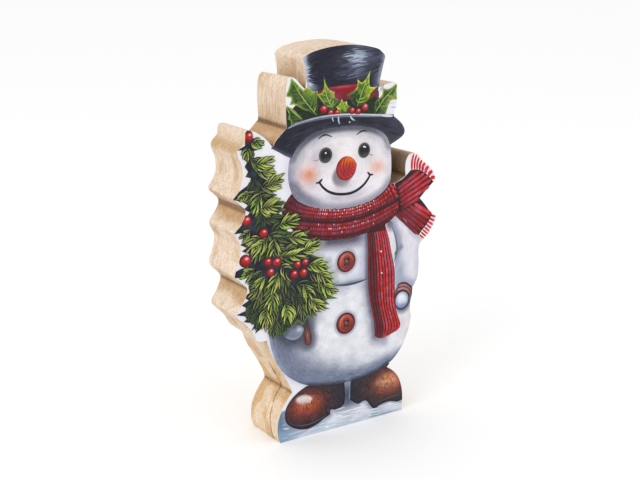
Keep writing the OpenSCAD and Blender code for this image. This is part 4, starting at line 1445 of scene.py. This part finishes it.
def build_snow_marks():
    """Drifts in the snow underfoot, as long pale and blue marks."""
    marks = Strokes("snow_marks", "snow_base", ICE_PAINT, "enamel_white")
    for _ in range(150):
        x, z = between(-54, 60), between(0.8, 22)
        reach = between(2, 8)
        line = [(x - reach, z + between(-0.8, 0.8)), (x, z + between(-0.4, 0.6)),
            (x + reach, z - between(0, 1))]
        if not is_in("snow_base", *line):
            continue
        blue = float(smoothstep(-20, -52, x)) * 0.8 + (0.35 if z < 6 else 0.1)
        colour = mix(rgb(226, 229, 236), rgb(138, 164, 190), min(1, blue * between(0.2, 1.4)))
        marks.add(line, between(0.5, 1.4), vary(colour, 0.03), None, 6)
    marks.add([(30, 3.4), (37, 3.4), (45, 2)], 1.8, rgb(140, 166, 194), rgb(176, 190, 204), 8)
    marks.add([(28, 1.6), (44, 1.4), (60, 1.6)], 1, rgb(126, 132, 136), rgb(150, 150, 150), 10)
    marks.build()


def build_film_marks():
    """Loose sketch strokes that run past the hat over the white ground, and the bark of the trunk."""
    marks = Strokes("sketch_marks", "ground_film", FILM_PAINT, "ground_white", 0.02)
    for line, width, colour in (([(36.6, 262.5), (38.2, 266), (39.4, 268.6)], 0.7, rgb(96, 72, 78)),
            ([(35.8, 263), (36.6, 265.6), (38, 268.2)], 0.6, rgb(150, 132, 136)),
            ([(45.4, 250.2), (48.6, 250), (51, 249.6)], 0.5, rgb(120, 116, 130)),
            ([(44.8, 252.8), (47.4, 253.4), (50.4, 253.2)], 0.4, rgb(168, 166, 178))):
        marks.add(line, width, colour)
    marks.build()
    bark = Strokes("trunk_bark", "tree_trunk", BROWN_PAINT, "enamel_brown")
    bark.add([(-29.4, 86), (-29, 80.5), (-27.2, 76.8)], 1.1, rgb(168, 122, 112), rgb(120, 76, 70), 8)
    bark.add([(-31.6, 86), (-31.2, 80), (-29.4, 76.6)], 0.9, rgb(70, 50, 54), rgb(60, 44, 48), 8)
    bark.add([(-26.6, 84), (-26.2, 80.4), (-26.8, 78)], 0.7, rgb(84, 56, 58), rgb(66, 46, 50), 8)
    bark.build()


def build_strokes():
    build_tree()
    build_wrap()
    build_tail()
    build_end("scarf_end_upper", (52, 178), (82, 192), (-9.6, -6.4, -3.2, 0, 3.2, 6.4),
        (0.8, 0.95, 1, 0.85, 1, 0.8), 0.3)
    build_end("scarf_end_lower", (54, 172), (82, 150), (-8.4, -5.6, -2.8, 0, 2.8, 5.6, 8.4),
        (0.85, 0.6, 0.5, 0.55, 0.5, 0.85, 1), 0.45)
    build_fringe("scarf_fringe_upper", [(67, 198), (76, 197), (86, 189.6)],
        [(68.6, 211.4), (78, 204.6), (89.2, 190.2)], (-0.9, 0.6), 8)
    build_fringe("scarf_fringe_lower", [(75.4, 146), (81, 152.6), (86.6, 160.4)],
        [(79.6, 142.6), (86, 148.6), (90.6, 158.6)], (0.3, -0.2), 8)
    build_hatching()
    build_crown()
    build_brim()
    build_leaves()
    build_face()
    build_body_lines()
    build_cuff()
    build_buttons()
    build_boots()
    build_snow_marks()
    build_film_marks()


build_strokes()

# ---------------------------------------------------------------- wood block
WOOD_STEP = 1.2             # between points round the block
WOOD_LEVELS = 42            # rings of points from front to back
WOOD_EASE = 0.7             # how far the back edge is rounded
SAW_WAVE = 0.22             # height of the marks that the saw left
WAVE_FADE = 4             # the marks start this far behind the picture
ROUND_OFF = 3.2             # how far the sander rounded the tips at the back
HOLLOW_SHARE = 0.2          # of that rounding, in the notches
MARK_REACH = 4            # the painted shade along the creases, and the crack's dark, reach as far as this
CREASE_TURN = 0.64          # a notch that turns more than this, in radians over six steps, is creased
CRACK_DEPTH = 0.5
CRACK_WIDTH = 0.6
BACK_RIPPLE = 0.12
# The crack's height and depth, from its upper end down.
CRACK = [(62, -4), (54, -2), (46, -3.5), (34, -4), (20, -7.5), (2, -12)]
OCHRE_BAND_HEIGHT = 232        # of the ochre band over the tree's first notch
CREAM = rgb(233, 216, 198)
TAN = rgb(213, 191, 164)
# HONEY is for streaks of grain and for the painted shade under the tips.
HONEY = rgb(188, 152, 114)
OCHRE = rgb(194, 152, 104)
# UMBER is for the painted shade along the creases.
UMBER = rgb(124, 92, 64)


def resample(ring, step):
    """Points at even steps along each side of a ring, so that its corners stay."""
    out = []
    for a, b in zip(ring, np.roll(ring, -1, axis=0)):
        count = max(1, round(float(np.linalg.norm(b - a)) / step))
        out.extend(a + (b - a) * i / count for i in range(count))
    return np.array(out)


def soften(ring, outward, width):
    """The ring with its tips rounded over a width of points, its notches hardly, and its base kept flat."""
    reach = max(1, int(3 * width))
    weights = np.exp(-0.5 * (np.arange(-reach, reach + 1) / width) ** 2)
    weights /= weights.sum()
    mean = sum(w * np.roll(ring, -k, axis=0) for k, w in zip(range(-reach, reach + 1), weights))
    move = mean - ring
    outwards = (move * outward).sum(1) > 0
    move *= np.where(outwards, HOLLOW_SHARE, 1)[:, None]
    return ring + move * smoothstep(0.5, 8, ring[:, 1])[:, None]


def patches(places, scale, stretch, seed):
    """Smooth noise at many places, with its scale in millimetres and stretched along z."""
    return np.array([noise.noise(Vector((x / scale, y / scale + seed, z / (scale * stretch)))) for x, y,
        z in places])


def turns_left(a, b, c):
    """True where the way from a over b to c turns to the left."""
    return (b[0] - a[0]) * (c[1] - a[1]) - (b[1] - a[1]) * (c[0] - a[0]) > 0


def hull_edges(ring):
    """The ring's convex hull as edges."""
    rows = sorted(map(tuple, ring.tolist()))
    hull = []
    for run in (rows, rows[::-1]):
        side = []
        for p in run:
            while len(side) > 1 and not turns_left(side[-2], side[-1], p):
                side.pop()
            side.append(p)
        hull += side[:-1]
    hull = np.array(hull)
    return np.hstack([hull, np.roll(hull, -1, axis=0)])


def wood_colours(places, outward, crease, hollow):
    """The wood's colours: cream, tan and honey grain with a yellower foot, painted light where it faces up,
    painted shade in honey under the tips, in dark brown deep in the right side's notches and in umber along
    the creases, and ochre by the notches.
    """
    broad = patches(places, 22, 1.6, 3)
    streaks = patches(places, 7, 5, 31)
    stain = patches(places, 13, 1.3, 57)
    # Painted shade: under is how far each point faces down, less so at the block's top; it turns the wood
    # honey here and flecks it darker in the material.
    under = smoothstep(0.15, 0.9, -outward[:, 1]) * (1 - 0.6 * smoothstep(236, 244, places[:, 2]))
    c = Canvas(places[:, ::2], CREAM)
    c.blend(TAN, 0.6 * smoothstep(-0.4, 0.6, broad + 0.3 * streaks))
    c.blend(HONEY, 0.5 * under * smoothstep(-0.5, 0.3, broad + streaks))
    c.blend(HONEY, 0.3 * smoothstep(0.15, 0.5, streaks))
    low = 1 - smoothstep(58, 82, places[:, 2])
    side = 0.25 + 0.75 * smoothstep(-30, -42, places[:, 0])
    c.blend(rgb(242, 220, 182), 0.6 * low)
    c.blend(OCHRE, 0.45 * low * side * smoothstep(0.02, 0.2, stain))
    c.blend(CREAM, 0.6 * low * side * smoothstep(0.02, 0.2, -stain))
    # Painted light: paler where the side faces up.
    c.blend(rgb(238, 222, 204), 0.45 * smoothstep(0.1, 0.9, outward[:, 1]) * (1 - low))
    left = (places[:, 0] < -20) * (1 - low)
    # Ochre on level and upward faces near the creases of the left side, and in a band at the tree's first
    # notch.
    shelf = (1 - smoothstep(5, 15, crease + 8 * broad)) * smoothstep(-0.3, 0.3, outward[:, 1])
    shelf = np.maximum(shelf, np.exp(-((places[:, 2] - OCHRE_BAND_HEIGHT) / 5) ** 2))
    c.blend(rgb(196, 164, 122), 0.8 * left * shelf)
    c.blend(rgb(196, 164, 122), 0.25 * left * smoothstep(1.5, 6, hollow + 4 * streaks))
    c.blend(rgb(238, 226, 212), 0.6 * left * (1 - shelf) * smoothstep(-0.3, 0.2, -stain))
    # Painted shade: dark brown deep in the notches of the right side.
    c.blend(rgb(96, 74, 52), 0.6 * smoothstep(6, 15, hollow) * (places[:, 0] > 0) * (places[:, 2] < 236))
    # Painted shade: umber along the creases.
    c.blend(UMBER, (0.55 - 0.2 * low) * (1 - smoothstep(0, 2.2, crease)))
    return c.rgb, under


def crack_distance(places):
    """Millimetres from the crack in the foot's left side, which splits the block's heart."""
    z, y = np.array(CRACK).T
    centre = np.interp(-places[:, 2], -z, y) + 0.5 * patches(places, 4, 1, 71)
    gap = np.abs(places[:, 1] - centre)
    gap = np.where((places[:, 0] < -35) & (places[:, 2] < z[0]), gap, MARK_REACH)
    pit = np.hypot(places[:, 1] + 2.4, (places[:, 2] - 51) * 0.6) - 1.1
    return np.where(places[:, 0] < -35, np.minimum(gap, np.maximum(pit, 0)), MARK_REACH)


def notch_distance(ring):
    """Millimetres from each point of the ring to the nearest sharp notch."""
    before, after = ring - np.roll(ring, 3, axis=0), np.roll(ring, -3, axis=0) - ring
    turn = np.arctan2(before[:, 0] * after[:, 1] - before[:, 1] * after[:, 0], (before * after).sum(1))
    notches = ring[turn < -CREASE_TURN]
    return np.sqrt(((ring[:, None] - notches[None]) ** 2).sum(2)).min(1)


def saw_wave(ring, depth):
    """How far the saw strayed at each point of the ring, at a depth, as a share."""
    return np.array([noise.noise(Vector((x * 0.16, depth * 0.05, z * 0.16)))
        + 0.5 * noise.noise(Vector((x * 0.5, depth * 0.02 + 9, z * 0.5))) for x, z in ring])


def sweep_block(ring, outward, front, back):
    """The points of the block's sides, ring after ring from the front, and how near a crease each is."""
    depths = list(np.linspace(front, back - WOOD_EASE, WOOD_LEVELS))
    turns = [math.radians(a) for a in (30, 60, 90)]
    depths += [back - WOOD_EASE * (1 - math.sin(a)) for a in turns]
    insets = [0] * WOOD_LEVELS + [WOOD_EASE * (1 - math.cos(a)) for a in turns]
    to_notch = notch_distance(ring)
    places, creases = [], []
    for depth, inset in zip(depths, insets):
        fade = min(1, (depth - front) / WAVE_FADE)
        back_share = (depth - front) / (back - front)
        soft = soften(ring, outward, 0.05 + ROUND_OFF / WOOD_STEP * back_share ** 0.8)
        wave = saw_wave(ring, depth)
        level = soft + outward * (SAW_WAVE * fade * (wave - 0.6) - inset)[:, None]
        level[:, 1] = np.maximum(level[:, 1], 0)
        places.append(np.column_stack([level[:, 0], np.full(len(ring), depth), level[:, 1]]))
        creases.append(to_notch + 0.6 * wave)
    creases[-1] += MARK_REACH
    creases[-2] += MARK_REACH / 2
    return np.vstack(places), np.clip(np.concatenate(creases), 0, None)


def close_end(vertices, faces, start, count, depth, is_back):
    """Fills the ring of count points from start on with a flat front or a slightly rippled back."""
    rim = np.array(vertices[start:start + count])[:, ::2]
    edges = np.hstack([rim, np.roll(rim, -1, axis=0)])
    pairs = [(i, (i + 1) % count) for i in range(count)]
    points, triangles, went = triangulate(np.vstack([rim, grid_inside(edges, 3)]), count, pairs, edges)
    place = {w: start + i for i, w in enumerate(went)}
    for i, (x, z) in enumerate(points):
        if i not in place:
            place[i] = len(vertices)
            ripple = BACK_RIPPLE * noise.noise(Vector((x * 0.08, 3, z * 0.02))) if is_back else 0
            vertices.append([x, depth + min(ripple, 0), z])
    faces += [tuple(place[i] for i in (t[::-1] if is_back else t)) for t in triangles.tolist()]


def build_wood():
    """The sawn block: its outline swept back, with saw marks, rounded tips and an eased back edge."""
    node = "wood_block"
    low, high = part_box(node)
    front, back = low.y / MM, high.y / MM
    ring = resample(max(loops(node), key=len), WOOD_STEP)
    count = len(ring)
    run = np.roll(ring, -1, axis=0) - np.roll(ring, 1, axis=0)
    run /= np.linalg.norm(run, axis=1)[:, None]
    outward = np.column_stack([run[:, 1], -run[:, 0]])
    places, creases = sweep_block(ring, outward, front, back)
    levels = len(places) // count
    outwards = np.tile(outward, (levels, 1))
    crack = crack_distance(places)
    groove = CRACK_DEPTH * np.exp(-(crack / CRACK_WIDTH) ** 2)
    places[:, 0] -= groove * smoothstep(front + 0.5, front + 3, places[:, 1]) * outwards[:, 0]
    hollow = np.tile(distance(ring, hull_edges(ring)), levels)
    colours, under = wood_colours(places, outwards, creases, hollow)
    vertices, faces = places.tolist(), []
    for start in range(0, len(places) - count, count):
        for i in range(count):
            j = (i + 1) % count
            faces.append((start + i, start + count + i, start + count + j, start + j))
    close_end(vertices, faces, 0, count, front, False)
    close_end(vertices, faces, len(places) - count, count, back, True)
    ends = np.array(vertices[len(places):])
    plain = np.full(len(ends), MARK_REACH * 2)
    flat, _ = wood_colours(ends, np.zeros((len(ends), 2)), plain, plain * 0)
    piece = finish_mesh("wood_block_sawn", vertices, faces, np.vstack([colours, flat]), WOOD, "wood")
    data = piece.data.attributes.new("marks", "FLOAT_COLOR", "POINT")
    # marks: red is the painted shade under the tips, green the nearness to a crease for its painted shade,
    # blue the nearness to the crack.
    rgba = np.ones((len(vertices), 4))
    rgba[:len(places), 0] = under
    rgba[:len(places), 1] = np.clip(creases / MARK_REACH, 0, 1)
    rgba[:len(places), 2] = np.clip(crack / MARK_REACH, 0, 1)
    rgba[len(places):, 0] = 0
    data.data.foreach_set("color", rgba.astype(np.float32).ravel())
    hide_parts(node)


build_wood()

# ---------------------------------------------------------------- floor and light
FLOOR_SIZE = 8
FLOOR_COLOUR = (0.96, 0.96, 0.96, 1)


def build_floor():
    """A wide pale sheet under the figure."""
    material = shader_nodes("pale_floor", Base_Color=FLOOR_COLOUR, Roughness=0.7, Specular_IOR_Level=0.2)[0]
    half = FLOOR_SIZE / 2
    mesh = bpy.data.meshes.new("floor")
    corners = [(-half, -half, 0), (half, -half, 0), (half, half, 0), (-half, half, 0)]
    mesh.from_pydata(corners, [], [(0, 1, 2, 3)])
    mesh.materials.append(material)
    floor = bpy.data.objects.new("floor", mesh)
    bpy.context.scene.collection.objects.link(floor)


def soft_light(name, place, size, power, aim=(0, 0, 0.15)):
    """A large square lamp that faces the figure."""
    data = bpy.data.lights.new(name, "AREA")
    data.size = size
    data.energy = power
    lamp = bpy.data.objects.new(name, data)
    lamp.location = place
    lamp.rotation_euler = (Vector(aim) - Vector(place)).to_track_quat("-Z", "Y").to_euler()
    bpy.context.scene.collection.objects.link(lamp)


def build_light():
    """An even white room, with a large lamp over the camera's left and a weaker one on the right."""
    world = bpy.data.worlds.new("white_room")
    bpy.context.scene.world = world
    world.use_nodes = True
    background = world.node_tree.nodes["Background"]
    background.inputs["Color"].default_value = (1, 1, 1, 1)
    background.inputs["Strength"].default_value = 1
    soft_light("key", (-1.5, -0.7, 1.2), 0.9, 9)
    soft_light("fill", (1, -1.4, 0.7), 1.2, 2)
    view = bpy.context.scene.view_settings
    view.view_transform = "Standard"
    view.look = "None"


build_floor()
build_light()
